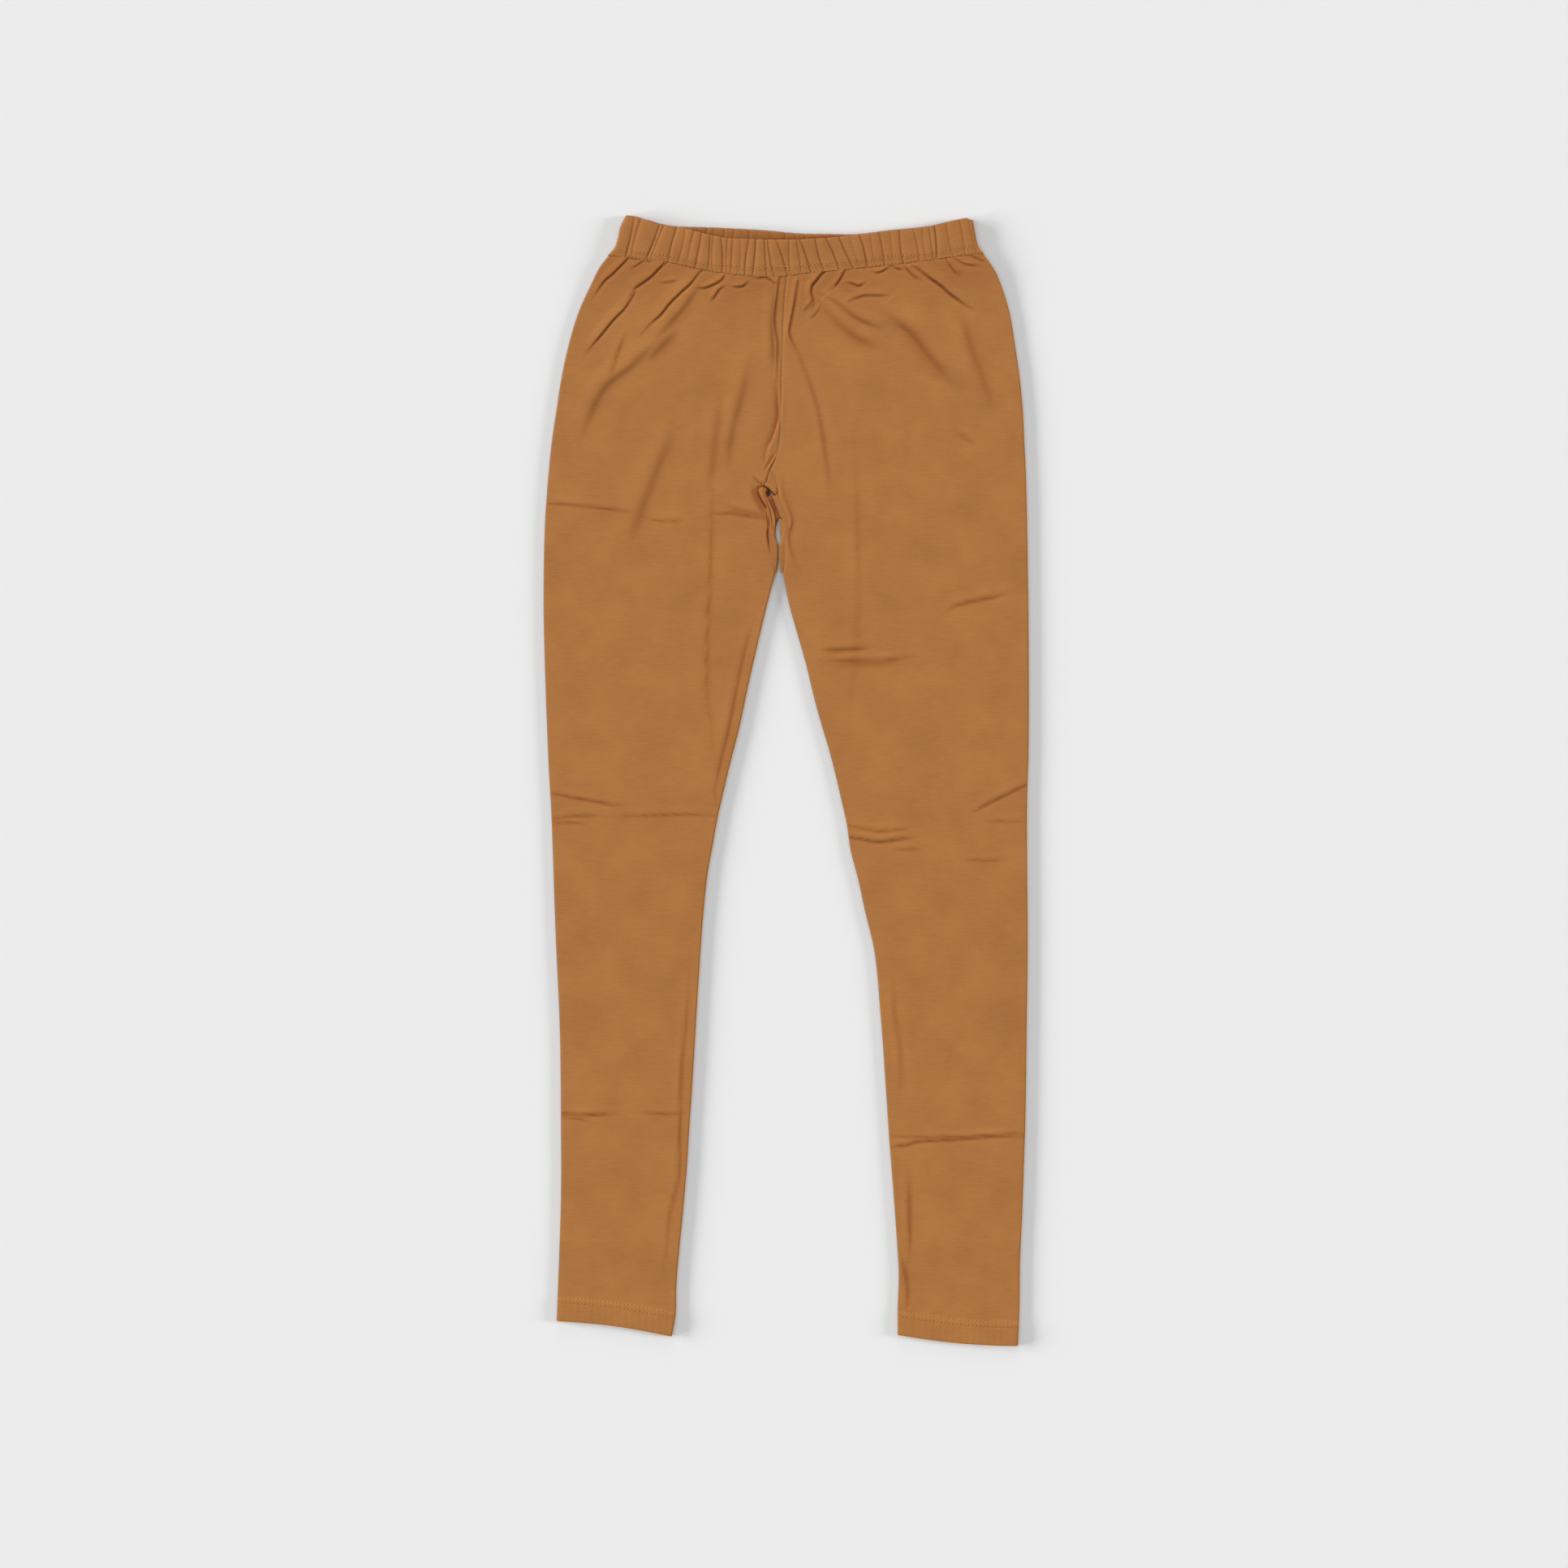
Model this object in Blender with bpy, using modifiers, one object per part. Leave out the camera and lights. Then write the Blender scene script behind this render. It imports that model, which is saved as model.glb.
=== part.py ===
"""Churidar pants in plain jersey, laid flat with the front up.

Two legs, each with its front and back in one piece, are joined at the centre seams and
down the inseams. A small gusset lies folded between them at the crotch, and a gathered
elastic waistband closes the top. Every piece lies on z = 0, the waist towards +Y and the
wearer's left towards +X. The origin is under the middle of the garment's box.

Tables are in millimetres. Across is measured along X from the middle of the garment, and
down is measured along the garment from the highest corner of the waistband.
"""

import math

import bmesh
import bpy

MM = 0.001

# Driving sizes
LENGTH = 1044.0        # waistband's highest corner to the lower hem
CLOTH = 1.0            # one layer of jersey
HEM_CLOTH = 1.4        # jersey doubled and pressed at the hem
BAND_WALL = 2.0        # doubled jersey with the elastic inside
LAYER_GAP = 0.6        # air between the front and the back where they lie on each other
SEAM_GAP = 0.3         # between two pieces that are sewn together
HEM_DEPTH = 22.0       # the turned-up hem, from its fold to its stitching

# Heights of the front's upper face
LEG_HEIGHT = 2.0 * CLOTH + LAYER_GAP
HEM_HEIGHT = 2.0 * HEM_CLOTH + LAYER_GAP
BAND_HEIGHT = 2.0 * BAND_WALL + 0.8
WAIST_LOFT = 1.4       # how far the gathers lift the front just under the waistband
LOFT_REACH = 28.0      # how far down that lift runs
CROWN = 0.5            # the slack of a leg's front between its two edge folds

# Fold at an edge: three flat strips round half a turn
FOLD_STEPS = 3

# Waistband: across, down
BAND_TOP_FRONT = (
    (-148.5, 0.0), (-139.0, 1.5), (-123.5, 7.5), (-102.5, 10.5), (-76.0, 17.0), (-56.5, 21.0),
    (-35.5, 22.0), (6.5, 22.5), (43.0, 20.5), (68.0, 18.0), (99.5, 13.5), (130.0, 10.5),
    (155.5, 5.0), (169.0, 2.5), (172.5, 4.0),
)
BAND_TOP_BACK = (
    (-148.5, 0.0), (-139.0, 1.5), (-109.0, 9.0), (-68.0, 11.0), (-22.0, 13.5), (12.5, 16.5),
    (43.0, 17.0), (65.5, 17.0), (99.5, 13.0), (130.0, 10.0), (155.5, 5.0), (169.0, 2.5), (172.5, 4.0),
)
WAIST_SEAM_FRONT = (
    (-164.5, 37.5), (-145.0, 39.5), (-108.5, 44.0), (-75.5, 51.0), (-45.5, 55.5), (-11.0, 57.5),
    (23.5, 53.5), (56.0, 50.5), (98.0, 46.5), (118.0, 43.5), (143.0, 40.5), (173.0, 36.5), (182.5, 36.0),
)
WAIST_SEAM_BACK = (
    (-164.5, 37.5), (-100.0, 40.0), (0.0, 44.5), (60.0, 45.0), (120.0, 42.0), (182.5, 36.0),
)

# Waistband's ends: share of the way from its top edge to its seam, right end, left end
BAND_ENDS = (
    (0.0, -148.5, 172.5), (0.25, -153.0, 174.0), (0.55, -155.5, 175.5), (0.8, -158.5, 178.0),
    (1.0, -164.5, 182.5),
)

# Waistband's rows: share of the way down, how far the cloth is drawn in, share of the gathers' wave
BAND_ROWS = (
    (0.0, 0.5, 0.6), (0.06, 0.0, 1.0), (0.6, 0.0, 1.0), (0.68, 0.5, 0.6), (0.76, 0.0, 1.0),
    (1.0, 0.2, 0.9),
)

# Waistband's gathers: across at its top edge, depth of the trough
GATHERS = (
    (-143.0, 0.8), (-132.0, 0.65), (-120.0, 0.95), (-111.0, 0.65), (-102.0, 0.95), (-92.0, 0.65),
    (-81.0, 0.95), (-70.0, 0.8), (-60.0, 0.95), (-52.0, 0.8), (-44.0, 0.95), (-36.0, 0.8),
    (-27.0, 0.95), (-18.0, 0.95), (-10.0, 0.8), (0.0, 0.95), (9.0, 0.95), (19.0, 0.95),
    (30.0, 0.95), (42.0, 0.95), (54.0, 0.8), (70.0, 0.95), (87.0, 0.8), (104.0, 0.95),
    (118.0, 0.65), (132.0, 0.95), (144.0, 0.8), (153.0, 0.65), (162.0, 0.8),
)
GATHER_CREST = 0.08    # crest's height for each millimetre between two troughs
CREST_LIMIT = 0.8
GATHER_REACH = 30.0    # how far a gather runs down into the leg
GATHER_WIDTH = 4.0     # a trough's half width in the leg

# Centre front and centre back seam: down, across
CENTRE_SEAM = (
    (44.0, 0.5), (57.0, 0.5), (85.0, -2.0), (130.0, -3.5), (185.0, -5.0), (203.0, -5.5),
    (219.0, -8.0), (235.5, -14.5),
)
CROTCH_TOP = 235.5
CROTCH_END = 330.0
TAIL_TIP = 1.7         # width of the end of each of the gusset's tails

# Gusset's seams: down, across at the right leg, across at the left leg
GUSSET_SEAMS = (
    (235.5, -14.5, -14.5), (238.5, -16.0, -12.3), (243.5, -18.0, -9.5), (251.0, -20.0, -7.5),
    (259.5, -19.5, -6.5), (269.0, -16.5, -2.5), (278.0, -15.0, 1.0), (287.0, -15.0, 2.5),
    (296.0, -16.0, 2.0), (305.0, -15.0, 0.0), (318.0, -13.0, -1.0), (330.0, -10.0, -3.0),
)
# Slit between the gusset's two tails: down, across at the right tail, across at the left tail
GUSSET_SLIT = (
    (281.0, -5.8, -5.0), (287.0, -8.0, -2.8), (296.0, -9.2, -3.6), (305.0, -7.6, -5.6),
    (318.0, -7.5, -6.3),
)
# Gusset's edge from the table up: height, how far it stands in
GUSSET_EDGE = (
    (0.0, 0.35), (0.35, 0.0), (1.05, 0.0), (1.3, 0.45), (1.55, 0.0), (2.6, 0.0), (3.1, 0.5),
)

# Legs: side is the folded outer edge and inseam the inner one, both as down, across
LEGS = {
    "leg_right": {
        "side": (
            (37.5, -164.5), (48.0, -172.5), (62.0, -179.5), (87.0, -191.0), (112.0, -199.0),
            (144.0, -206.5), (178.0, -212.0), (213.0, -217.0), (250.0, -220.5), (288.0, -223.0),
            (335.0, -224.0), (370.0, -224.0), (428.0, -222.5), (506.0, -219.5), (550.0, -217.0),
            (590.0, -215.5), (663.0, -213.0), (755.0, -209.0), (850.0, -208.0), (903.0, -208.0),
            (955.0, -209.5), (1020.0, -212.0),
        ),
        "inseam": (
            (330.0, -10.0), (361.0, -18.0), (409.0, -29.5), (436.0, -35.5), (474.0, -43.5),
            (507.0, -52.0), (537.0, -59.0), (557.0, -63.5), (582.0, -68.0), (607.0, -72.5),
            (639.0, -76.0), (670.0, -78.5), (724.0, -82.0), (799.0, -86.5), (835.0, -89.0),
            (882.0, -92.0), (922.0, -95.5), (963.0, -99.5), (990.0, -101.5), (1014.0, -102.0),
            (1035.0, -105.5),
        ),
        "hem_side": 1021.0,
        "hem_inseam": 1035.0,
        "inward": 1.0,
    },
    "leg_left": {
        "side": (
            (36.0, 182.5), (44.0, 188.5), (53.0, 194.0), (68.0, 200.0), (90.0, 206.5),
            (117.0, 211.0), (148.0, 215.5), (178.0, 218.5), (209.0, 220.0), (240.0, 221.5),
            (312.0, 223.0), (389.0, 224.0), (490.0, 224.0), (540.0, 222.5), (600.0, 222.5),
            (670.0, 223.0), (760.0, 222.0), (835.0, 221.0), (878.0, 219.5), (922.0, 218.0),
            (965.0, 216.0), (1008.0, 215.5), (1044.0, 214.0),
        ),
        "inseam": (
            (330.0, -3.0), (358.0, 2.5), (385.0, 10.0), (415.0, 18.5), (446.0, 26.0), (468.0, 32.0),
            (493.0, 39.5), (516.0, 45.5), (544.0, 52.0), (562.0, 56.0), (586.0, 59.5), (615.0, 67.0),
            (643.0, 73.0), (674.0, 80.5), (699.0, 84.0), (724.0, 86.0), (761.0, 89.0), (805.0, 92.0),
            (850.0, 95.0), (914.0, 100.0), (958.0, 103.0), (979.0, 104.0), (1008.0, 103.0),
            (1034.0, 103.0),
        ),
        "hem_side": 1044.0,
        "hem_inseam": 1034.0,
        "inward": -1.0,
    },
}

# How many strips the front and the back have in the rows down to each place
FRONT_STRIPS = ((82.0, 40), (135.0, 24), (235.0, 16), (LENGTH, 11))
BACK_STRIPS = ((60.0, 20), (LENGTH, 2))
HIP_ROWS = (57.0, 63.5, 72.0, 83.0, 97.0, 114.0, 134.0, 158.0, 185.0, 212.0)
LEG_ROWS = (
    348.0, 368.0, 388.0, 402.0, 420.0, 448.0, 478.0, 508.0, 526.0, 536.0, 545.0, 553.0, 562.0,
    574.0, 588.0, 615.0, 650.0, 695.0, 745.0, 795.0, 819.0, 828.0, 838.0, 848.0, 858.0, 895.0,
    940.0, 985.0,
)
HEM_ROWS = (HEM_DEPTH + 2.5, HEM_DEPTH, HEM_DEPTH - 1.5, HEM_DEPTH - 3.0, 0.0)

# Folds that run out of the waist seam: across, down, across, down, half width, rise
WAIST_FOLDS = (
    (-144.0, 38.0, -183.0, 82.0, 6.0, 1.4),
    (-109.0, 44.0, -186.0, 129.0, 8.0, 1.9),
    (-78.0, 51.0, -132.0, 110.0, 8.0, 1.8),
    (-57.0, 54.0, -75.0, 88.0, 6.0, 1.4),
    (-33.0, 57.0, -51.0, 245.0, 10.0, 1.2),
    (12.0, 57.0, 2.0, 111.0, 6.0, 1.1),
    (36.0, 53.0, 27.0, 96.0, 6.0, 1.6),
    (84.0, 48.0, 98.0, 82.0, 6.0, 1.3),
    (116.0, 44.0, 172.0, 90.0, 8.0, 1.9),
    (146.0, 40.0, 166.0, 66.0, 6.0, 1.4),
)
# Folds and press creases that fade at both ends, with the same columns
CREASES = (
    (-109.0, 108.0, -190.0, 217.0, 12.0, 0.9),
    (-92.0, 190.0, -143.0, 317.0, 12.0, 0.8),
    (2.0, 105.0, 40.0, 250.0, 10.0, 0.8),
    (61.0, 78.0, 104.0, 76.0, 7.0, 1.0),
    (85.0, 90.0, 153.0, 166.0, 12.0, 0.9),
    (154.0, 87.0, 194.0, 178.0, 12.0, 0.8),
    (-220.0, 265.0, -90.0, 281.0, 7.0, 0.7),
    (-76.0, 276.0, -20.0, 280.0, 7.0, 0.8),
    (-69.0, 225.0, -69.0, 510.0, 14.0, 0.6),
    (60.0, 171.0, 63.0, 513.0, 14.0, 0.6),
    (25.0, 401.0, 125.0, 403.0, 8.0, 0.8),
    (140.0, 370.0, 205.0, 349.0, 9.0, 0.8),
    (-220.0, 533.0, -140.0, 543.0, 7.0, 1.0),
    (-175.0, 553.0, -60.0, 553.0, 7.0, 0.9),
    (226.0, 524.0, 165.0, 553.0, 9.0, 1.1),
    (52.0, 574.0, 125.0, 574.0, 9.0, 1.2),
    (-212.0, 829.0, -92.0, 828.0, 7.0, 0.8),
    (92.0, 850.0, 226.0, 846.0, 7.0, 0.9),
)
EDGE_FADE = 14.0       # folds die out over this width before an edge fold


def smooth_at(table, place, column=1):
    """Reads a column of a table at any place, along a smooth curve through its rows."""
    if place <= table[0][0]:
        return table[0][column]
    if place >= table[-1][0]:
        return table[-1][column]
    row = 0
    while table[row + 1][0] < place:
        row += 1
    before, first, second, after = (
        table[max(0, row - 1)], table[row], table[row + 1], table[min(len(table) - 1, row + 2)],
    )
    span = second[0] - first[0]
    share = (place - first[0]) / span
    slope_in = (second[column] - before[column]) / (second[0] - before[0])
    slope_out = (after[column] - first[column]) / (after[0] - first[0])
    square, cube = share ** 2, share ** 3
    return (
        (2.0 * cube - 3.0 * square + 1.0) * first[column]
        + (cube - 2.0 * square + share) * span * slope_in
        + (3.0 * square - 2.0 * cube) * second[column]
        + (cube - square) * span * slope_out
    )


def bump(distance, half_width):
    """A soft round ridge: 1 on its line and 0 at its half width."""
    if distance >= half_width:
        return 0.0
    return 0.5 + 0.5 * math.cos(math.pi * distance / half_width)


def fold_rise(fold, across, down, from_waist):
    """How far one fold lifts the cloth at a point of the front."""
    start_x, start_down, end_x, end_down, half_width, rise = fold
    run_x = end_x - start_x
    run_down = end_down - start_down
    length = math.hypot(run_x, run_down)
    along = ((across - start_x) * run_x + (down - start_down) * run_down) / length ** 2
    along = min(1.0, max(0.0, along))
    away = math.hypot(across - start_x - along * run_x, down - start_down - along * run_down)
    strength = math.cos(0.5 * math.pi * along) if from_waist else math.sin(math.pi * along) ** 0.6
    return rise * strength * bump(away, half_width)


def point(across, down, height):
    """A place on the garment, in metres."""
    return (across * MM, (0.5 * LENGTH - down) * MM, height * MM)


def strip(bm, upper, lower, turned=False):
    """Joins two rows of vertices with faces, also where one row has more vertices."""
    upper_last = len(upper) - 1
    lower_last = len(lower) - 1
    i = 0
    j = 0
    while i < upper_last or j < lower_last:
        ahead = (i + 1) * lower_last - (j + 1) * upper_last
        if ahead == 0:
            corners = [upper[i], lower[j], lower[j + 1], upper[i + 1]]
            i += 1
            j += 1
        elif ahead < 0:
            corners = [upper[i], lower[j], upper[i + 1]]
            i += 1
        else:
            corners = [upper[i], lower[j], lower[j + 1]]
            j += 1
        bm.faces.new(corners[::-1] if turned else corners)


def linear(channel):
    """One sRGB colour value, 0 to 255, as a linear one."""
    value = channel / 255.0
    return value / 12.92 if value <= 0.04045 else ((value + 0.055) / 1.055) ** 2.4


def jersey(name, red, green, blue):
    """Matt cotton jersey in a colour given as sRGB values."""
    material = bpy.data.materials.new(name)
    material.use_nodes = True
    shader = material.node_tree.nodes["Principled BSDF"]
    colour = (linear(red), linear(green), linear(blue), 1.0)
    shader.inputs["Base Color"].default_value = colour
    shader.inputs["Roughness"].default_value = 0.85
    shader.inputs["Metallic"].default_value = 0.0
    material.diffuse_color = colour
    return material


def piece(bm, name, material, collection):
    """Turns a bmesh into one named object."""
    mesh = bpy.data.meshes.new(name)
    bm.to_mesh(mesh)
    bm.free()
    mesh.materials.append(material)
    item = bpy.data.objects.new(name, mesh)
    collection.objects.link(item)
    return item


def shade(mesh):
    """Round folds look round, and cut edges stay sharp."""
    mesh.shade_smooth()
    mesh.set_sharp_from_angle(angle=math.radians(50.0))


def band_columns(gathers):
    """Places round the band's front or back, with the wave of the gathers at each."""
    columns = []
    for (across, depth), (next_across, _) in zip(gathers, gathers[1:]):
        spacing = next_across - across
        crest = min(CREST_LIMIT, GATHER_CREST * spacing)
        columns.append((across, -depth))
        if spacing > 13.0:
            columns.append((across + 0.3 * spacing, crest))
            columns.append((across + 0.7 * spacing, crest))
        else:
            columns.append((across + 0.5 * spacing, crest))
    columns.append((gathers[-1][0], -gathers[-1][1]))
    return columns


def band_section(share, drawn_in, wave_share, front, back):
    """One row round the waistband, as the points of its outer and of its inner face."""
    right_end = smooth_at(BAND_ENDS, share, 1)
    left_end = smooth_at(BAND_ENDS, share, 2)
    top_right, top_left = BAND_ENDS[0][1:]
    seam_right, seam_left = BAND_ENDS[-1][1:]
    radius = 0.5 * BAND_HEIGHT

    def place(across, outline, seam, inset):
        part = (across - top_right) / (top_left - top_right)
        at_top = smooth_at(outline, across)
        at_seam = smooth_at(seam, seam_right + radius + part * (seam_left - seam_right - 2.0 * radius))
        x = right_end + radius + part * (left_end - right_end - 2.0 * radius)
        return x + inset, at_top + share * (at_seam - at_top)

    def fold(across, outline, seam, direction):
        ring = []
        x, down = place(across, outline, seam, 0.0)
        for step in range(1, FOLD_STEPS):
            turn = math.pi * step / FOLD_STEPS
            ring.append((x, down, direction * math.sin(turn), math.cos(turn)))
        return ring

    outer = []
    inner = []
    for across, wave in front:
        x, down = place(across, BAND_TOP_FRONT, WAIST_SEAM_FRONT, 0.0)
        outer.append(point(x, down, BAND_HEIGHT + wave_share * wave - drawn_in))
        inner.append(point(x, down, BAND_HEIGHT - BAND_WALL))
    for x, down, side, lift in fold(top_left, BAND_TOP_FRONT, WAIST_SEAM_FRONT, 1.0):
        outer.append(point(x + side * radius, down, radius + lift * radius))
        inner.append(point(x + side * (radius - BAND_WALL), down, radius + lift * (radius - BAND_WALL)))
    for across, wave in reversed(back):
        x, down = place(across, BAND_TOP_BACK, WAIST_SEAM_BACK, 0.0)
        outer.append(point(x, down, 0.0))
        inner.append(point(x, down, BAND_WALL + wave_share * wave - drawn_in))
    for x, down, side, lift in reversed(fold(top_right, BAND_TOP_FRONT, WAIST_SEAM_FRONT, -1.0)):
        outer.append(point(x + side * radius, down, radius + lift * radius))
        inner.append(point(x + side * (radius - BAND_WALL), down, radius + lift * (radius - BAND_WALL)))
    return outer, inner


def make_waistband(collection):
    """The gathered ring of doubled jersey over elastic, front lying on back."""
    middle = BAND_ENDS[0][1] + BAND_ENDS[0][2]
    mirrored = tuple((middle - across, depth) for across, depth in reversed(GATHERS))
    end_columns = ((BAND_ENDS[0][1], 0.0), (BAND_ENDS[0][2], 0.0))
    front = [end_columns[0]] + band_columns(GATHERS) + [end_columns[1]]
    back = [end_columns[0]] + band_columns(mirrored) + [end_columns[1]]
    bm = bmesh.new()
    outer_rows = []
    inner_rows = []
    for share, drawn_in, wave_share in BAND_ROWS:
        outer, inner = band_section(share, drawn_in, wave_share, front, back)
        outer_rows.append([bm.verts.new(place) for place in outer])
        inner_rows.append([bm.verts.new(place) for place in inner])
    for upper, lower in zip(outer_rows, outer_rows[1:]):
        strip(bm, upper + upper[:1], lower + lower[:1])
    for upper, lower in zip(inner_rows, inner_rows[1:]):
        strip(bm, upper + upper[:1], lower + lower[:1], turned=True)
    strip(bm, outer_rows[0] + outer_rows[0][:1], inner_rows[0] + inner_rows[0][:1], turned=True)
    strip(bm, outer_rows[-1] + outer_rows[-1][:1], inner_rows[-1] + inner_rows[-1][:1])
    shade(piece(bm, "waistband", jersey("waistband_jersey", 170, 113, 65), collection).data)


def inner_edge(leg, down):
    """Across a leg's inner edge: the centre seam, then the gusset's seam, then the inseam."""
    if down < CROTCH_TOP:
        return smooth_at(CENTRE_SEAM, down)
    if down < CROTCH_END:
        return smooth_at(GUSSET_SEAMS, down, 1 if leg["inward"] > 0.0 else 2)
    return smooth_at(leg["inseam"], down)


def front_height(across, down, below_waist, above_hem, across_share, edge_distance):
    """Height of the front's upper face, with its gathers, folds and hem."""
    height = edge_height(below_waist, above_hem)
    slack = math.sin(math.pi * across_share) * min(1.0, below_waist / 60.0)
    height += CROWN * slack * min(1.0, above_hem / 60.0)
    reach = max(0.0, 1.0 - below_waist / GATHER_REACH)
    top_right, top_left = BAND_ENDS[0][1:]
    seam_right, seam_left = BAND_ENDS[-1][1:]
    for gather_across, depth in GATHERS:
        part = (gather_across - top_right) / (top_left - top_right)
        at_seam = seam_right + part * (seam_left - seam_right)
        height -= depth * reach * bump(abs(across - at_seam), GATHER_WIDTH)
    rise = sum(fold_rise(fold, across, down, True) for fold in WAIST_FOLDS)
    rise += sum(fold_rise(fold, across, down, False) for fold in CREASES)
    return height + rise * min(1.0, edge_distance / EDGE_FADE)


def edge_height(below_waist, above_hem):
    """Height of a leg at its folded edges."""
    height = LEG_HEIGHT + WAIST_LOFT * math.exp(-(below_waist / LOFT_REACH) ** 2)
    stitched = min(1.0, max(0.0, (HEM_DEPTH - above_hem) / 1.5))
    return height + (HEM_HEIGHT - LEG_HEIGHT) * stitched


def leg_row(leg, inner_down):
    """One row round a leg: its front, its back, and the folds at its two edges."""
    inward = leg["inward"]
    at_centre = smooth_at(CENTRE_SEAM, CENTRE_SEAM[1][0])
    side_start = leg["side"][0][1] + inward * 0.5 * edge_height(0.0, LENGTH)
    centre_top = smooth_at(WAIST_SEAM_FRONT, at_centre) + SEAM_GAP
    share_down = max(0.0, (inner_down - centre_top) / (leg["hem_inseam"] - centre_top))
    closed = inner_down >= CROTCH_END

    def strips(table):
        return next(count for limit, count in table if inner_down <= limit)

    def line(across_share, back):
        at_seam = side_start + across_share * (at_centre - side_start)
        front_top = smooth_at(WAIST_SEAM_FRONT, at_seam) + SEAM_GAP
        back_top = smooth_at(WAIST_SEAM_BACK, at_seam) + SEAM_GAP
        hem = leg["hem_side"] + across_share * (leg["hem_inseam"] - leg["hem_side"])
        down = front_top + share_down * (hem - front_top)
        if back:
            down += (back_top - front_top) * max(0.0, 1.0 - 6.0 * share_down)
        return down, down - front_top, hem - down

    def run(count, back):
        places = []
        for step in range(count + 1):
            across_share = step / count
            down, below_waist, above_hem = line(across_share, back)
            radius = 0.5 * edge_height(below_waist, above_hem)
            first = smooth_at(leg["side"], down) + inward * radius
            last = inner_edge(leg, down) - inward * (radius if closed else 0.5 * SEAM_GAP)
            across = first + across_share * (last - first)
            if back:
                height = 0.0
            else:
                side_distance = abs(across - first)
                inner_distance = abs(last - across) if closed else EDGE_FADE
                edge = min(side_distance, inner_distance)
                height = front_height(across, down, below_waist, above_hem, across_share, edge)
            places.append((across, down, height))
        return places

    def edge_fold(front_end, back_end, outward):
        places = []
        radius = 0.5 * front_end[2]
        for step in range(1, FOLD_STEPS):
            turn = math.pi * step / FOLD_STEPS
            mix = step / FOLD_STEPS
            across = front_end[0] + mix * (back_end[0] - front_end[0]) + outward * radius * math.sin(turn)
            down = front_end[1] + mix * (back_end[1] - front_end[1])
            places.append((across, down, radius * (1.0 + math.cos(turn))))
        return places

    front = run(strips(FRONT_STRIPS), False)
    back = run(strips(BACK_STRIPS), True)
    return {
        "front": front,
        "back": back,
        "side_fold": edge_fold(front[0], back[0], -inward),
        "inner_fold": edge_fold(front[-1], back[-1], inward) if closed else None,
        "above_hem": line(0.0, False)[2],
    }


def make_leg(name, collection):
    """One leg of single jersey: open at the centre seams, a tube from the crotch down."""
    leg = LEGS[name]
    turned = leg["inward"] < 0.0
    crotch_rows = tuple(row[0] for row in GUSSET_SEAMS)
    hem_rows = tuple(leg["hem_inseam"] - above for above in HEM_ROWS)
    bm = bmesh.new()
    hem_layer = bm.verts.layers.deform.verify()
    rows = []
    for inner_down in HIP_ROWS + crotch_rows + LEG_ROWS + hem_rows:
        row = leg_row(leg, inner_down)
        doubled = row["above_hem"] < HEM_DEPTH - 1.0
        made = {}
        for part in ("front", "back", "side_fold", "inner_fold"):
            made[part] = [bm.verts.new(point(*place)) for place in row[part]] if row[part] else []
            for vertex in made[part]:
                vertex[hem_layer][0] = 1.0 if doubled else CLOTH / HEM_CLOTH
        made["closed"] = row["inner_fold"] is not None
        rows.append(made)
    for upper, lower in zip(rows, rows[1:]):
        strip(bm, upper["front"], lower["front"], turned)
        strip(bm, upper["back"][::-1], lower["back"][::-1], turned)
        around_side = [
            [row["back"][0]] + row["side_fold"][::-1] + [row["front"][0]] for row in (upper, lower)
        ]
        strip(bm, *around_side, turned)
        if upper["closed"]:
            around_inner = [
                [row["front"][-1]] + row["inner_fold"] + [row["back"][-1]] for row in (upper, lower)
            ]
            strip(bm, *around_inner, turned)
    item = piece(bm, name, jersey(name + "_jersey", 174, 118, 69), collection)
    item.vertex_groups.new(name="wall")
    wall = item.modifiers.new("Wall", "SOLIDIFY")
    wall.thickness = HEM_CLOTH * MM
    wall.offset = -1.0
    wall.use_even_offset = True
    wall.vertex_group = "wall"
    evaluated = item.evaluated_get(bpy.context.evaluated_depsgraph_get())
    walled = bpy.data.meshes.new_from_object(evaluated)
    item.modifiers.clear()
    item.data = walled
    shade(walled)


def set_in(outline, distance):
    """A closed outline moved towards its inside, which lies to the left of its run."""
    moved = []
    for index, here in enumerate(outline):
        before = outline[index - 1]
        after = outline[(index + 1) % len(outline)]
        run_in = (here[0] - before[0], here[1] - before[1])
        run_out = (after[0] - here[0], after[1] - here[1])
        length_in = math.hypot(*run_in)
        length_out = math.hypot(*run_out)
        side_in = (-run_in[1] / length_in, run_in[0] / length_in)
        side_out = (-run_out[1] / length_out, run_out[0] / length_out)
        middle = (side_in[0] + side_out[0], side_in[1] + side_out[1])
        squared = middle[0] ** 2 + middle[1] ** 2
        scale = 2.0 * distance / max(squared, 1.2)
        moved.append((here[0] + middle[0] * scale, here[1] + middle[1] * scale))
    return moved


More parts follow.
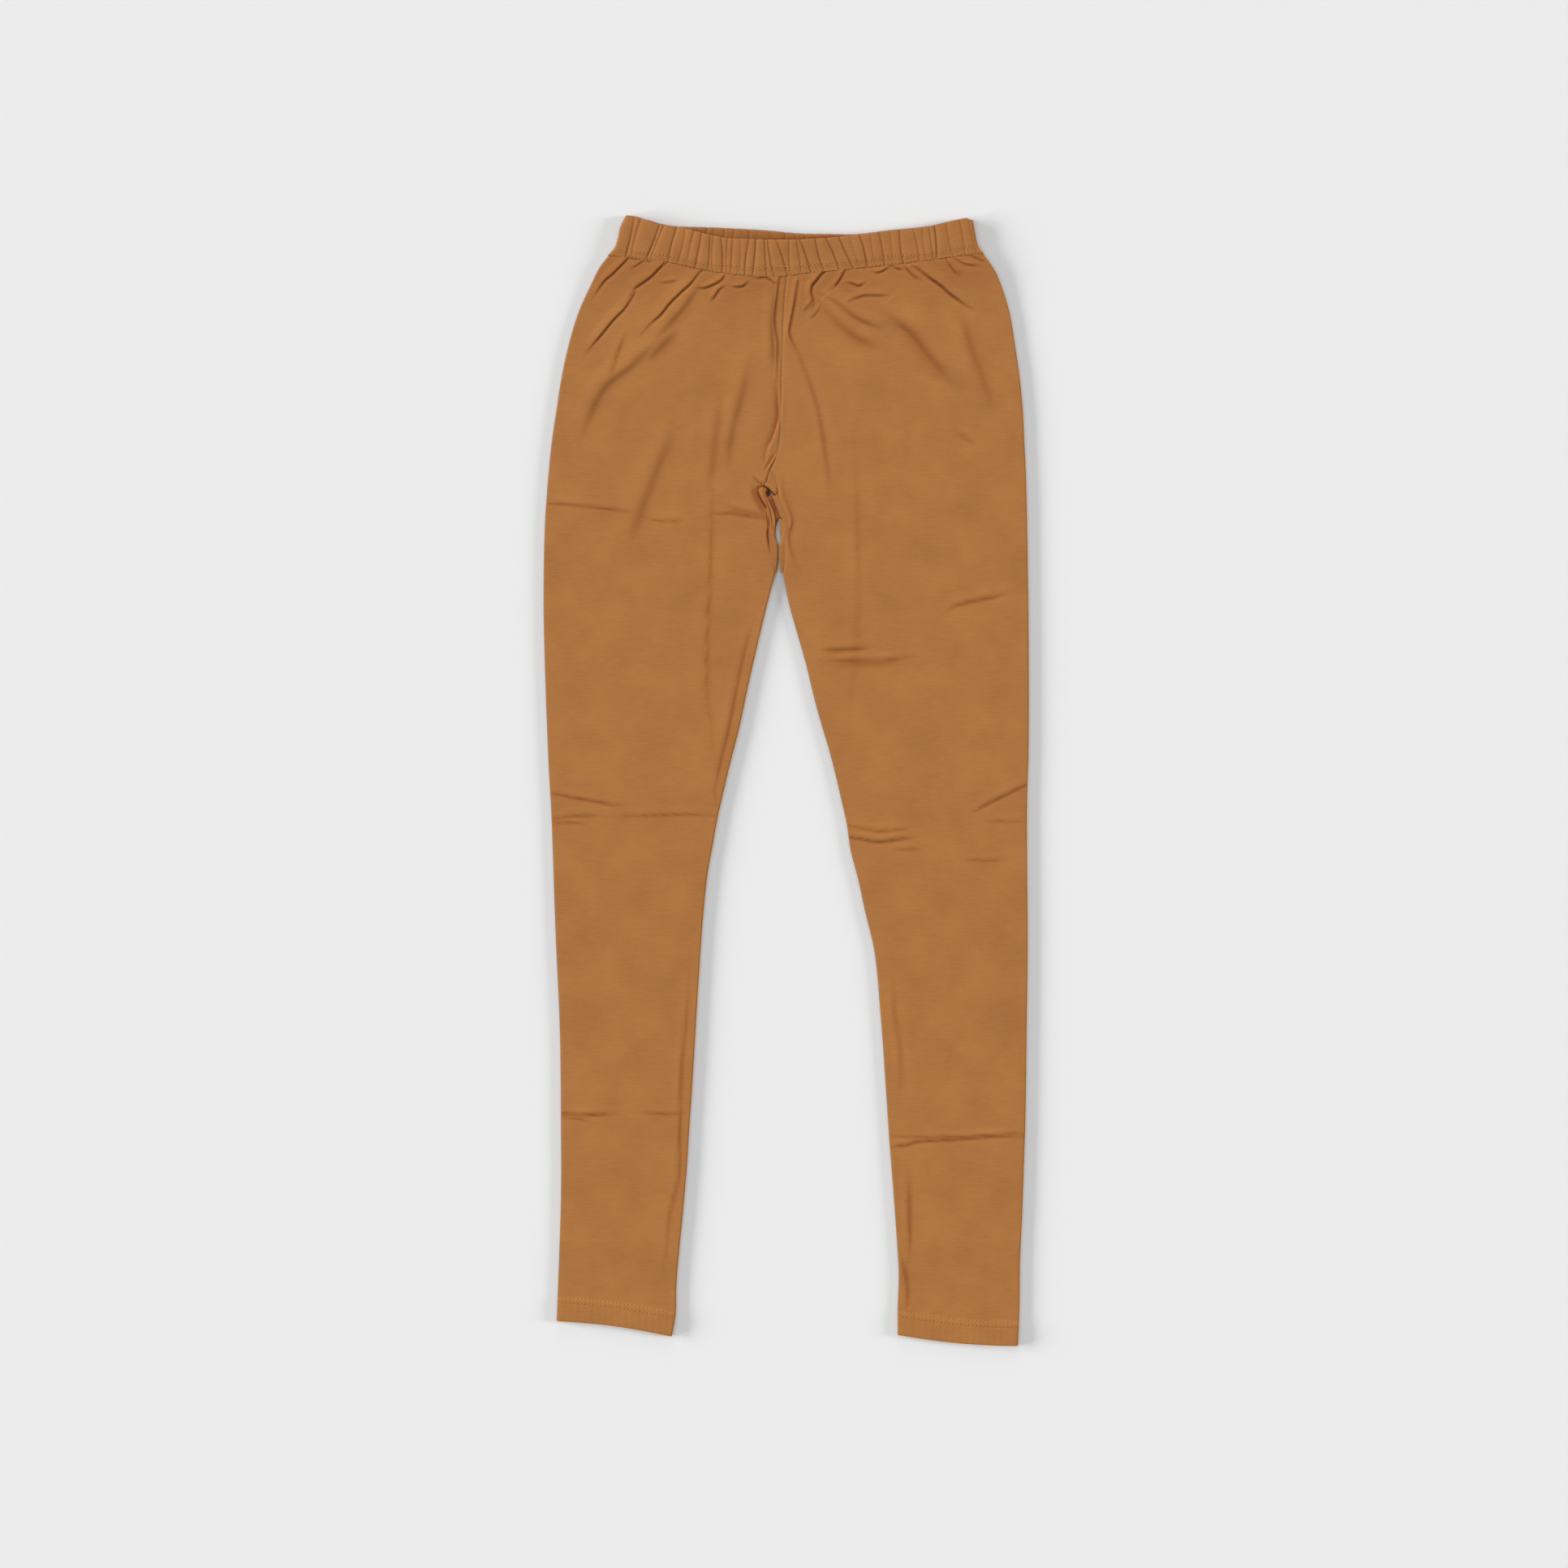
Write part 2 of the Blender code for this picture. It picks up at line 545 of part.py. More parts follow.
def make_gusset(collection):
    """The small diamond at the crotch, folded so that its two tails hang side by side."""
    half = 0.5 * SEAM_GAP
    right_seam = [(row[1] + half, row[0]) for row in GUSSET_SEAMS[1:]]
    left_seam = [(row[2] - half, row[0]) for row in GUSSET_SEAMS[1:]]
    right_slit = [(row[1], row[0]) for row in GUSSET_SLIT]
    left_slit = [(row[2], row[0]) for row in GUSSET_SLIT]
    right_tip = (right_seam[-1][0] + TAIL_TIP, right_seam[-1][1])
    left_tip = (left_seam[-1][0] - TAIL_TIP, left_seam[-1][1])
    outline = left_seam + [left_tip] + left_slit[::-1] + right_slit + [right_tip] + right_seam[::-1]
    outline = [(across, 0.5 * LENGTH - down) for across, down in outline]
    outline = outline[::-1]
    bm = bmesh.new()
    levels = []
    for height, inset in GUSSET_EDGE:
        level = set_in(outline, inset)
        levels.append([bm.verts.new((x * MM, y * MM, height * MM)) for x, y in level])
    for lower, upper in zip(levels, levels[1:]):
        strip(bm, upper + upper[:1], lower + lower[:1])
    bm.faces.new(levels[-1])
    bm.faces.new(levels[0][::-1])
    shade(piece(bm, "crotch_gusset", jersey("gusset_jersey", 166, 108, 60), collection).data)


def make_churidar():
    """The whole garment, in one collection."""
    for item in list(bpy.data.objects):
        bpy.data.objects.remove(item, do_unlink=True)
    collection = bpy.data.collections.new("churidar_pants")
    bpy.context.scene.collection.children.link(collection)
    make_waistband(collection)
    make_gusset(collection)
    for name in LEGS:
        make_leg(name, collection)


make_churidar()
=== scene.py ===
"""The looks of a pair of churidar pants in tan jersey, laid flat with the front up.

The file follows the garment as it is sewn: the two legs with their hems and centre seams, the
gusset between them, the waistband, and last the stitches. Lengths are in millimetres from the
section on the legs on. Across is measured along X from the middle of the garment, and down is
measured along it from the waistband's highest corner. Pieces, seams and ends are right or left as
the wearer has them, which is the other way round in the picture. The ways in which folds rise and
creases lean are as seen in the picture.
"""

import math

import bmesh
import bpy
import numpy as np
from mathutils import Matrix, Vector
from mathutils.bvhtree import BVHTree


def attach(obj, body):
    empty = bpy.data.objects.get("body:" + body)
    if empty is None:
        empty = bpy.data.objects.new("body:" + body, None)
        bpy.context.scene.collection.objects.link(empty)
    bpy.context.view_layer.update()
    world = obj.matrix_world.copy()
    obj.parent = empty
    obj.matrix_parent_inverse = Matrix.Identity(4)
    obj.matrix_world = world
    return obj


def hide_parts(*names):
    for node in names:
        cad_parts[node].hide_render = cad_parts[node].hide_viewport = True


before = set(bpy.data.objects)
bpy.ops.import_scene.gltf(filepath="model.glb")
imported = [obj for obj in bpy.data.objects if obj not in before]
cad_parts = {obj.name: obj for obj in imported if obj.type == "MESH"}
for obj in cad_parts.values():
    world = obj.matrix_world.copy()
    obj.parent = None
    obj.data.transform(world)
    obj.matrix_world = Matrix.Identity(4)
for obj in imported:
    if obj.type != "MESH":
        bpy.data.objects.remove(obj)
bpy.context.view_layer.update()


# The table top, the studio light and the camera
# A matt off-white board in soft light that comes low from the upper left, seen straight down
# by a long lens that takes in 1.45 m of it. Lengths in this section are in metres.
BOARD_HALF = 6.0
BOARD_DROP = 0.0002         # the board lies this far under the cloth, so that the two never mix
PICTURE_WIDTH = 1.449
PICTURE_CENTRE = (-0.0019, -0.003)
LENS = 85.0
SENSOR = 36.0
SKY_LIGHT = 0.40
# Each sun: what it lights, bearing it comes from, degrees above the board, its width in degrees,
# light on the board. The board's own suns are low, so the thin cloth throws a wide soft shadow.
SUNS = (
    ("key_sun", "cloth", 116.0, 32.0, 7.0, 1.56),
    ("side_sun", "cloth", 178.0, 32.0, 20.0, 0.25),
    ("board_left_sun_1", "board", 162.0, 8.5, 10.0, 0.30),
    ("board_left_sun_2", "board", 177.0, 8.5, 10.0, 0.38),
    ("board_left_sun_3", "board", 192.0, 8.5, 10.0, 0.30),
    ("board_right_sun", "board", 3.0, 11.5, 13.0, 0.50),
    ("board_top_sun", "board", 90.0, 12.0, 12.0, 0.11),
    ("board_high_sun", "board", 178.0, 50.0, 30.0, 0.22),
)


def colour(code):
    """An sRGB hex colour as the linear colour that a shader takes."""
    channels = [int(code[place:place + 2], 16) / 255.0 for place in (0, 2, 4)]
    return tuple(
        value / 12.92 if value <= 0.04045 else ((value + 0.055) / 1.055) ** 2.4 for value in channels
    ) + (1.0,)


def add(tree, kind, inputs=(), **settings):
    """Adds a shader node with its settings, and fills its inputs with values or from other nodes."""
    node = tree.nodes.new("ShaderNode" + kind)
    for name, value in settings.items():
        setattr(node, name, value)
    for name, value in dict(inputs).items():
        if isinstance(value, bpy.types.NodeSocket):
            tree.links.new(value, node.inputs[name])
        else:
            node.inputs[name].default_value = value
    return node


def new_material(name):
    """A material with an empty node tree."""
    material = bpy.data.materials.new(name)
    material.use_nodes = True
    material.node_tree.nodes.clear()
    return material, material.node_tree


def give_surface(tree, looks):
    """Ends a material's nodes in one surface with these looks."""
    surface = add(tree, "BsdfPrincipled", looks)
    add(tree, "OutputMaterial", {"Surface": surface.outputs["BSDF"]})


def even_material(name, code, roughness, specular):
    """A material with no pattern that the eye can see: its sRGB colour and how it reflects."""
    material, tree = new_material(name)
    give_surface(tree, {"Base Color": colour(code), "Roughness": roughness,
                        "Specular IOR Level": specular})
    return material


# Painted board: an even matt coat with no grain to see.
board_paint = even_material("matt_board_paint", "EEEEEE", 0.9, 0.2)

bm = bmesh.new()
bmesh.ops.create_grid(bm, x_segments=1, y_segments=1, size=BOARD_HALF,
                      matrix=Matrix.Translation((0.0, 0.0, -BOARD_DROP)))
board_mesh = bpy.data.meshes.new("board")
bm.to_mesh(board_mesh)
bm.free()
board_mesh.materials.append(board_paint)
board = bpy.data.objects.new("board", board_mesh)
bpy.context.scene.collection.objects.link(board)

board_only = bpy.data.collections.new("board_only")
board_only.objects.link(board)
all_but_board = bpy.data.collections.new("all_but_board")
all_but_board.objects.link(board)
all_but_board.collection_objects[0].light_linking.link_state = "EXCLUDE"
for name, lights_up, bearing, height, width, light_on_board in SUNS:
    sun = bpy.data.lights.new(name, "SUN")
    sun.angle = math.radians(width)
    sun.energy = light_on_board / math.sin(math.radians(height))
    lamp = bpy.data.objects.new(name, sun)
    bpy.context.scene.collection.objects.link(lamp)
    turn, lift = math.radians(bearing), math.radians(height)
    towards = Vector((math.cos(turn) * math.cos(lift), math.sin(turn) * math.cos(lift), math.sin(lift)))
    lamp.rotation_euler = towards.to_track_quat("Z", "Y").to_euler()
    lamp.location = towards
    lamp.light_linking.receiver_collection = board_only if lights_up == "board" else all_but_board

world = bpy.data.worlds.new("studio")
world.use_nodes = True
world.node_tree.nodes["Background"].inputs["Color"].default_value = (1.0, 1.0, 1.0, 1.0)
world.node_tree.nodes["Background"].inputs["Strength"].default_value = SKY_LIGHT
bpy.context.scene.world = world
bpy.context.scene.view_settings.view_transform = "Standard"

camera_data = bpy.data.cameras.new("camera")
camera_data.lens = LENS
camera_data.sensor_width = SENSOR
camera = bpy.data.objects.new("camera", camera_data)
camera.location = (*PICTURE_CENTRE, PICTURE_WIDTH * LENS / SENSOR)
bpy.context.scene.collection.objects.link(camera)
bpy.context.scene.camera = camera


# The legs
# Cotton jersey with a little elastane, piece dyed tan. Each leg is one piece of cloth, folded at
# its outer side and sewn to itself down the inseam. Open at the top, they meet at the centre seams.
MM = 0.001
LENGTH = 1044.0
CLOTH = 0.65                # thickness of one layer of the jersey
LEG_HEIGHT = 2.6            # front's upper face above the board
HEM_HEIGHT = 3.4            # the same at the hem
HEM_DEPTH = 21.5
HEM_FOLD = 0.7              # radius of the fold at the bottom of the hem
HEM_STITCHES = (21.5, 17.5)  # the hem's two rows of stitches above its fold
WAIST_LOFT = 1.6            # how far the gathers lift the cloth at the waist seam
LOFT_REACH = 28.0
CROWN = 0.5                 # the front bows up this much between its edges
CROWN_REACH = 60.0          # and gets there over this length at the waist and at the hem
# Slow unevenness of the front: height, size of a swell, seed, and over what length it sets in
SWELLS = ((0.30, 46.0, 11, 30.0), (0.10, 14.0, 12, 20.0))
TUCK = 1.0                  # how far the front's top edge runs under the waistband
TUCK_SINK = 0.1             # that edge sinks this much, and rises again over the reach, from a
TUCK_SINK_REACH = 1.2       # little above the waist seam
TUCK_SINK_ABOVE = 0.3
BACK_TOP_DROP = 0.15        # the back's top edge lies this much lower than its seam
BACK_TOP_FADE = 6.0         # the back is cut as the front is from a sixth of the way down
EDGE_FADE = 14.0            # folds die out over this width before a folded edge
EDGE_ROUND = 0.6            # and the lower this is, the nearer to the edge they stay high
HEM_STEP = 3.0              # the doubled hem's height is reached over this length
HEM_GROOVE = 0.2            # depth and half width of the groove along each row of hem stitches
HEM_GROOVE_HALF = 1.4
HEM_PUCKER = 0.12           # height and length of the hem's small waves between its stitches
HEM_PUCKER_LONG = 6.3
# The cloth's edges roll in at the centre seams and at the gusset: down, depth
SEAM_DIPS = ((44.0, 0.6), (200.0, 0.6), (245.0, 0.6), (275.0, 0.5), (300.0, 0.25), (330.0, 0.2))
SEAM_ROLL = 1.1             # over this width
BACK_SEAM_RISE = 0.5        # the back's edge there rolls up by this much
SEAM_GAP = 0.05             # each side of a seam stays this far from its line, so they never mix
SHARP_FROM = 60.0           # edges of a piece that turn more than this, in degrees, look sharp
WELD = 0.00001              # points closer than this, in metres, are sewn into one

# Waist seam at the front and at the back: across, down
WAIST_SEAM_FRONT = (
    (-164.5, 37.5), (-145.0, 39.5), (-108.5, 44.0), (-75.5, 51.0), (-45.5, 55.5), (-11.0, 57.5),
    (23.5, 53.5), (56.0, 50.5), (98.0, 46.5), (118.0, 43.5), (143.0, 40.5), (173.0, 36.5), (182.5, 36.0),
)
WAIST_SEAM_BACK = (
    (-164.5, 37.5), (-100.0, 40.0), (0.0, 44.5), (60.0, 45.0), (120.0, 42.0), (182.5, 36.0),
)
# Centre seam: down, across
CENTRE_SEAM = (
    (44.0, 0.5), (57.0, 0.5), (85.0, -2.0), (130.0, -3.5), (185.0, -5.0), (203.0, -5.5),
    (219.0, -8.0), (235.5, -14.5),
)
CROTCH_TOP = 235.5
CROTCH_END = 330.0
CLOSING = 14.0              # the legs turn from open edges into tubes over this length
# Gusset's seams: down, across at the right leg, across at the left leg
GUSSET_SEAMS = (
    (235.5, -14.5, -14.5), (238.5, -16.0, -12.3), (243.5, -18.0, -9.5), (251.0, -20.0, -7.5),
    (259.5, -19.5, -6.5), (269.0, -16.5, -2.5), (278.0, -15.0, 1.0), (287.0, -15.0, 2.5),
    (296.0, -16.0, 2.0), (305.0, -15.0, 0.0), (318.0, -13.0, -1.0), (330.0, -10.0, -3.0),
)
# Legs: side is the folded outer edge and inseam the inner one, both as down, across
LEGS = {
    "leg_right": {
        "side": (
            (37.5, -164.5), (48.0, -172.5), (62.0, -179.5), (87.0, -191.0), (112.0, -199.0),
            (144.0, -206.5), (178.0, -212.0), (213.0, -217.0), (250.0, -220.5), (288.0, -223.0),
            (335.0, -224.0), (370.0, -224.0), (428.0, -222.5), (506.0, -219.5), (550.0, -217.0),
            (590.0, -215.5), (663.0, -213.0), (755.0, -209.0), (850.0, -208.0), (903.0, -208.0),
            (955.0, -209.5), (1020.0, -212.0),
        ),
        "inseam": (
            (330.0, -10.0), (361.0, -18.0), (409.0, -29.5), (436.0, -35.5), (474.0, -43.5),
            (507.0, -52.0), (537.0, -59.0), (557.0, -63.5), (582.0, -68.0), (607.0, -72.5),
            (639.0, -76.0), (670.0, -78.5), (724.0, -82.0), (799.0, -86.5), (835.0, -89.0),
            (882.0, -92.0), (922.0, -95.5), (963.0, -99.5), (990.0, -101.5), (1014.0, -102.0),
            (1035.0, -105.5),
        ),
        "hem_side": 1021.0, "hem_inseam": 1035.0, "hem_sag": -2.3, "inward": 1.0,
    },
    "leg_left": {
        "side": (
            (36.0, 182.5), (44.0, 188.5), (53.0, 194.0), (68.0, 200.0), (90.0, 206.5),
            (117.0, 211.0), (148.0, 215.5), (178.0, 218.5), (209.0, 220.0), (240.0, 221.5),
            (312.0, 223.0), (389.0, 224.0), (490.0, 224.0), (540.0, 222.5), (600.0, 222.5),
            (670.0, 223.0), (760.0, 222.0), (835.0, 221.0), (878.0, 219.5), (922.0, 218.0),
            (965.0, 216.0), (1008.0, 215.5), (1044.0, 214.0),
        ),
        "inseam": (
            (330.0, -3.0), (358.0, 2.5), (385.0, 10.0), (415.0, 18.5), (446.0, 26.0), (468.0, 32.0),
            (493.0, 39.5), (516.0, 45.5), (544.0, 52.0), (562.0, 56.0), (586.0, 59.5), (615.0, 67.0),
            (643.0, 73.0), (674.0, 80.5), (699.0, 84.0), (724.0, 86.0), (761.0, 89.0), (805.0, 92.0),
            (850.0, 95.0), (914.0, 100.0), (958.0, 103.0), (979.0, 104.0), (1008.0, 103.0),
            (1034.0, 103.0),
        ),
        "hem_side": 1044.0, "hem_inseam": 1034.0, "hem_sag": 2.3, "inward": -1.0,
    },
}
# Stations round a leg, from the inseam over the front, the side fold and the back to the inseam:
# strips so far, share of the way from the side in while sewn up, the same while open, and how far
# the cloth has turned, in degrees
AROUND = (
    (0, 1.0, 1.0, -90.0), (4, 1.0, 0.982, 0.0), (10, 0.955, 0.95, 0.0), (64, 0.0, 0.0, 0.0),
    (72, 0.0, 0.0, 180.0), (98, 0.97, 0.97, 180.0), (101, 1.0, 0.985, 180.0), (104, 1.0, 1.0, 270.0),
)
# Rows down a leg: down to here, apart
ROW_STEPS = (
    (330.0, 3.0), (345.0, 4.0), (352.0, 2.7), (415.0, 2.1), (518.0, 6.4), (600.0, 1.6), (820.0, 7.0),
    (864.0, 1.7), (1008.0, 6.6),
)
WRONG_SIDE_STEP = 6.5
HEM_ROWS = 18
FOLD_ROWS = 5
TURNED_ROWS = (3.0, 8.0, 14.0, 17.0, 20.0)
# Front is cut into strips of half the width down to the first of these, and again to the second
FINE_ROWS_ENDS = (330.0, 140.0)
ROUNDING = 0.1              # places on a grid or along the legs are told apart within this
INNER_SINK = 0.5            # the wrong side lies this much deeper where the front is cut finer

# Folds and creases of the front: the way from their line to the ridge, as seen in the picture, its
# height, width of the steep side next to the line and of the soft side, strength where it starts
# and where it ends, and the line as across, down. A line that is sunk has its depth, half width and
# the darkness of its painted shade instead.
FOLDS = (
    ("up left", 1.0, 1.1, 8.0, 0.9, 0.2,
     ((-142, 35), (-145, 39), (-152, 46), (-159, 53), (-168, 61), (-180, 78))),
    ("up left", 0.6, 1.1, 5.0, 0.7, 0.1, ((-127, 36), (-132, 42), (-139, 47), (-147, 51))),
    ("up left", 1.2, 1.0, 11.0, 0.8, 0.3,
     ((-109, 40), (-112, 44), (-118, 50), (-125, 57), (-132, 62), (-140, 68), (-144, 74))),
    ("up left", 1.1, 1.0, 9.0, 0.7, 0.1,
     ((-140, 72), (-145, 80), (-150, 87), (-159, 96), (-168, 107), (-178, 119), (-187, 130))),
    ("up left", 1.3, 1.0, 12.0, 0.5, 0.2,
     ((-75, 49), (-80, 53), (-88, 63), (-98, 72), (-108, 82), (-116, 92), (-125, 100), (-133, 109))),
    ("up left", 0.8, 6.0, 14.0, 0.2, 0.0, ((-72, 60), (-80, 69), (-93, 87), (-108, 104), (-123, 119))),
    ("up", 1.0, 1.1, 5.0, 0.8, 0.3, ((-57, 56), (-60, 60), (-67, 64), (-75, 67), (-83, 67))),
    ("up left", 0.9, 1.2, 5.0, 0.6, 0.2, ((-57, 66), (-61, 68), (-66, 75), (-70, 80))),
    ("up", 0.9, 1.1, 5.0, 0.5, 0.4, ((-35, 61), (-39, 65), (-43, 66), (-50, 66))),
    ("up", 0.9, 1.1, 4.0, 0.4, 0.7, ((-31, 57), (-25, 58), (-19, 57), (-14, 60), (-10, 63))),
    ("up", 0.5, 1.2, 5.0, 0.3, 0.3, ((-118, 62), (-110, 62), (-99, 60))),
    ("left", 0.5, 1.1, 3.0, 0.7, 0.2, ((-49, 52), (-48, 57))),
    ("up left", 0.8, 7.0, 16.0, 0.0, 0.0, ((-95, 105), (-116, 126), (-130, 140))),
    ("left", 0.5, 2.0, 7.0, 0.2, 0.0, ((-148, 108), (-157, 130), (-164, 152))),
    ("up left", 0.9, 6.0, 16.0, 0.0, 0.0,
     ((-109, 108), (-140, 140), (-165, 160), (-180, 188), (-190, 217))),
    ("up left", 0.8, 8.0, 18.0, 0.0, 0.0,
     ((-92, 190), (-105, 209), (-117, 238), (-128, 267), (-140, 301), (-143, 317))),
    ("left", 0.8, 6.0, 13.0, 0.2, 0.0, ((-33, 133), (-38, 164), (-46, 194), (-50, 217), (-51, 245))),
    ("left", 0.6, 6.0, 13.0, 0.0, 0.0, ((-58, 164), (-62, 200), (-66, 234), (-72, 262))),
    ("left", 0.7, 1.2, 3.0, 0.9, 0.3,
     ((-6, 57), (-8, 72), (-10, 91), (-10, 104), (-8, 117), (-8, 130), (-9, 154))),
    ("left", 0.9, 4.5, 9.0, 0.3, 0.0, ((-8, 62), (-10, 84), (-11, 104), (-10, 130), (-10, 150))),
    ("right", 0.8, 2.2, 6.0, 0.1, 0.4,
     ((-9, 150), (-7, 184), (-9, 194), (-13, 206), (-17, 214), (-20, 228))),
    ("left", 0.9, 1.3, 5.0, 0.8, 0.2,
     ((11, 60), (8, 79), (5, 95), (3, 109), (8, 122), (14, 131))),
    ("left", 0.8, 3.0, 9.0, 0.3, 0.1,
     ((2, 111), (5, 120), (12, 128), (18, 142), (26, 164), (32, 186), (37, 218), (41, 248), (41, 266))),
    ("right", 1.1, 1.1, 3.0, 0.3, 0.6, ((-9, 219), (-14, 227), (-19, 235))),
    ("up", 0.7, 1.2, 4.0, 0.3, 0.3, ((-30, 240), (-25, 246), (-20, 248))),
    ("sunk", 0.8, 1.7, 1.8, 0.8, 1.0, ((-26, 252), (-24.5, 250.5), (-22, 249.7), (-19, 251))),
    ("sunk", 1.0, 1.9, 1.9, 0.5, 1.0, ((-26, 251), (-26, 256), (-24, 261), (-21, 266), (-17, 272))),
    ("sunk", 0.7, 5.5, 0.7, 0.1, 0.3, ((-28, 247), (-28.5, 256), (-26, 263), (-22, 270), (-19, 280))),
    ("sunk", 1.0, 1.8, 1.7, 1.0, 0.2,
     ((-17, 272), (-17, 280), (-16, 287), (-17, 294), (-16, 302), (-15, 311))),
    ("left", 0.7, 3.0, 7.0, 0.2, 0.2,
     ((-3, 240), (-1, 258), (4, 270), (7, 283), (4, 294), (4, 302), (8, 316), (13, 330))),
    ("up right", 1.2, 1.1, 5.0, 0.8, 0.1, ((149, 42), (153, 48), (160, 57))),
    ("up right", 1.9, 1.3, 10.0, 0.5, 0.2,
     ((119, 48), (124, 51), (133, 58), (143, 65), (151, 72), (159, 78), (166, 83), (172, 86))),
    ("up", 1.2, 1.1, 5.0, 1.0, 0.1, ((111, 48), (114, 52), (119, 57), (124, 60))),
    ("left", 1.3, 1.2, 6.0, 0.8, 0.2,
     ((37, 51), (33, 54), (28, 60), (24, 65), (23, 72), (25, 79), (25, 88))),
    ("left", 0.9, 1.1, 5.0, 1.0, 0.2, ((54, 51), (51, 57), (47, 63), (43, 68))),
    ("up", 0.9, 1.1, 4.0, 0.5, 0.3, ((56, 62), (61, 63), (67, 65), (73, 62))),
    ("up", 0.8, 1.1, 4.0, 0.3, 0.6, ((79, 52), (85, 53), (90, 51), (95, 48))),
    ("up", 0.8, 1.1, 4.0, 0.8, 0.2, ((98, 46), (102, 49), (108, 50))),
    ("up", 0.7, 1.3, 6.0, 0.5, 0.1, ((57, 80), (63, 77), (73, 74), (85, 74), (98, 74))),
    ("up", 0.7, 1.1, 4.0, 0.8, 0.1, ((156, 40), (165, 45), (181, 47))),
    ("up", 0.8, 1.1, 4.0, 0.9, 0.1, ((170, 36), (175, 39), (186, 43))),
    ("up left", 0.5, 1.2, 4.0, 0.1, 0.5, ((16, 89), (21, 83), (24, 79))),
    ("up left", 0.5, 1.2, 4.0, 0.1, 0.5, ((21, 96), (27, 91), (32, 83))),
    ("up right", 1.0, 4.5, 11.0, 0.4, 0.0, ((33, 74), (46, 82), (61, 94), (76, 102), (92, 108))),
    ("up right", 1.1, 7.0, 12.0, 0.4, 0.0, ((29, 80), (41, 95), (55, 109), (72, 120), (90, 129))),
    ("up right", 2.6, 8.0, 22.0, 0.1, 0.0,
     ((86, 88), (99, 99), (113, 111), (129, 131), (143, 149), (155, 171))),
    ("down left", 1.0, 7.0, 15.0, 0.0, 0.0,
     ((153, 79), (162, 92), (168, 104), (173, 120), (181, 142), (190, 165), (194, 185))),
    ("up left", 0.5, 3.0, 7.0, 0.0, 0.0, ((156, 200), (164, 205), (172, 214))),
    ("up", 0.5, 1.4, 8.0, 0.8, 0.1, ((-222, 265), (-178, 269), (-157, 272), (-135, 275))),
    ("up", 0.4, 1.4, 8.0, 0.1, 0.1, ((-131, 280), (-105, 282), (-92, 280))),
    ("up", 0.5, 1.4, 8.0, 0.1, 0.6, ((-74, 276), (-54, 275), (-36, 277), (-20, 280))),
    ("up", 0.5, 4.0, 9.0, 0.0, 0.3, ((-60, 264), (-50, 272), (-36, 275), (-19, 280))),
    ("left", 0.35, 2.4, 12.0, 0.0, 0.1,
     ((-69, 225), (-70, 295), (-71, 333), (-73, 369), (-74, 413), (-74, 446), (-70, 474), (-69, 510))),
    ("left", 0.3, 4.0, 14.0, 0.0, 0.0,
     ((62, 171), (66, 240), (68, 320), (66, 400), (60, 470), (60, 513))),
    ("left", 0.7, 1.8, 6.0, 0.0, 0.2,
     ((-27, 362), (-34, 385), (-40, 404), (-46, 431), (-54, 474), (-59, 493), (-62, 508), (-66, 526),
      (-66, 537), (-64, 546))),
    ("left", 0.5, 1.8, 5.0, 0.0, 0.2,
     ((-90, 675), (-91, 722), (-95, 761), (-98, 811), (-99, 850), (-100, 889), (-108, 922), (-111, 956),
      (-115, 976))),
    ("up", 0.6, 1.8, 9.0, 0.0, 0.2, ((142, 369), (156, 360), (171, 356), (194, 351), (208, 346))),
    ("up", 0.6, 1.9, 8.0, 0.0, 0.0, ((28, 401), (60, 400), (82, 398))),
    ("up", 0.6, 1.9, 7.0, 0.2, 0.0, ((31, 410), (61, 411), (98, 410), (123, 404))),
    ("up", 0.6, 1.4, 8.0, 0.8, 0.1, ((-220, 532), (-198, 537), (-174, 541), (-159, 544), (-143, 543))),
    ("up", 0.45, 1.4, 8.0, 0.8, 0.1, ((-219, 557), (-204, 555), (-189, 554), (-168, 554))),
    ("up", 0.4, 1.3, 7.0, 0.1, 0.6, ((-168, 555), (-133, 554), (-98, 553), (-62, 553))),
    ("up", 0.4, 1.4, 4.0, 0.6, 0.0, ((-217, 562), (-198, 560), (-182, 563))),
    ("up", 0.7, 1.4, 9.0, 0.9, 0.1, ((224, 524), (208, 532), (192, 540), (177, 548), (168, 553))),
    ("up", 0.8, 1.5, 9.0, 0.9, 0.1, ((53, 572), (68, 575), (84, 578), (102, 576), (122, 573))),
    ("up", 0.45, 1.5, 7.0, 0.6, 0.0, ((56, 562), (85, 568), (121, 565))),
    ("up", 0.35, 1.5, 6.0, 0.0, 0.0, ((97, 585), (112, 585), (127, 584))),
    ("up", 0.35, 1.5, 6.0, 0.0, 0.2, ((160, 594), (182, 595), (206, 594))),
    ("up", 0.35, 1.5, 6.0, 0.0, 0.4, ((183, 558), (200, 559), (218, 559))),
    ("up", 0.7, 1.5, 7.0, 0.8, 0.1, ((-209, 828), (-184, 830), (-156, 829))),
    ("up", 0.4, 1.4, 5.0, 0.7, 0.0, ((-208, 831), (-192, 834), (-180, 836))),
    ("up", 0.4, 1.4, 7.0, 0.0, 0.6, ((-140, 826), (-118, 829), (-94, 829))),
    ("up", 0.4, 1.4, 6.0, 0.6, 0.4, ((96, 850), (140, 850), (183, 849), (222, 846))),
    ("up", 0.7, 1.5, 6.0, 0.8, 0.5,
     ((96, 859), (111, 858), (120, 855), (134, 854), (154, 853), (183, 851), (222, 849))),
    ("right", 0.5, 3.0, 9.0, 0.0, 0.1, ((196, 655), (201, 699), (208, 742), (212, 780), (218, 824))),
    ("left", 0.5, 3.0, 9.0, 0.0, 0.0, ((99, 690), (101, 736), (106, 767), (107, 820))),
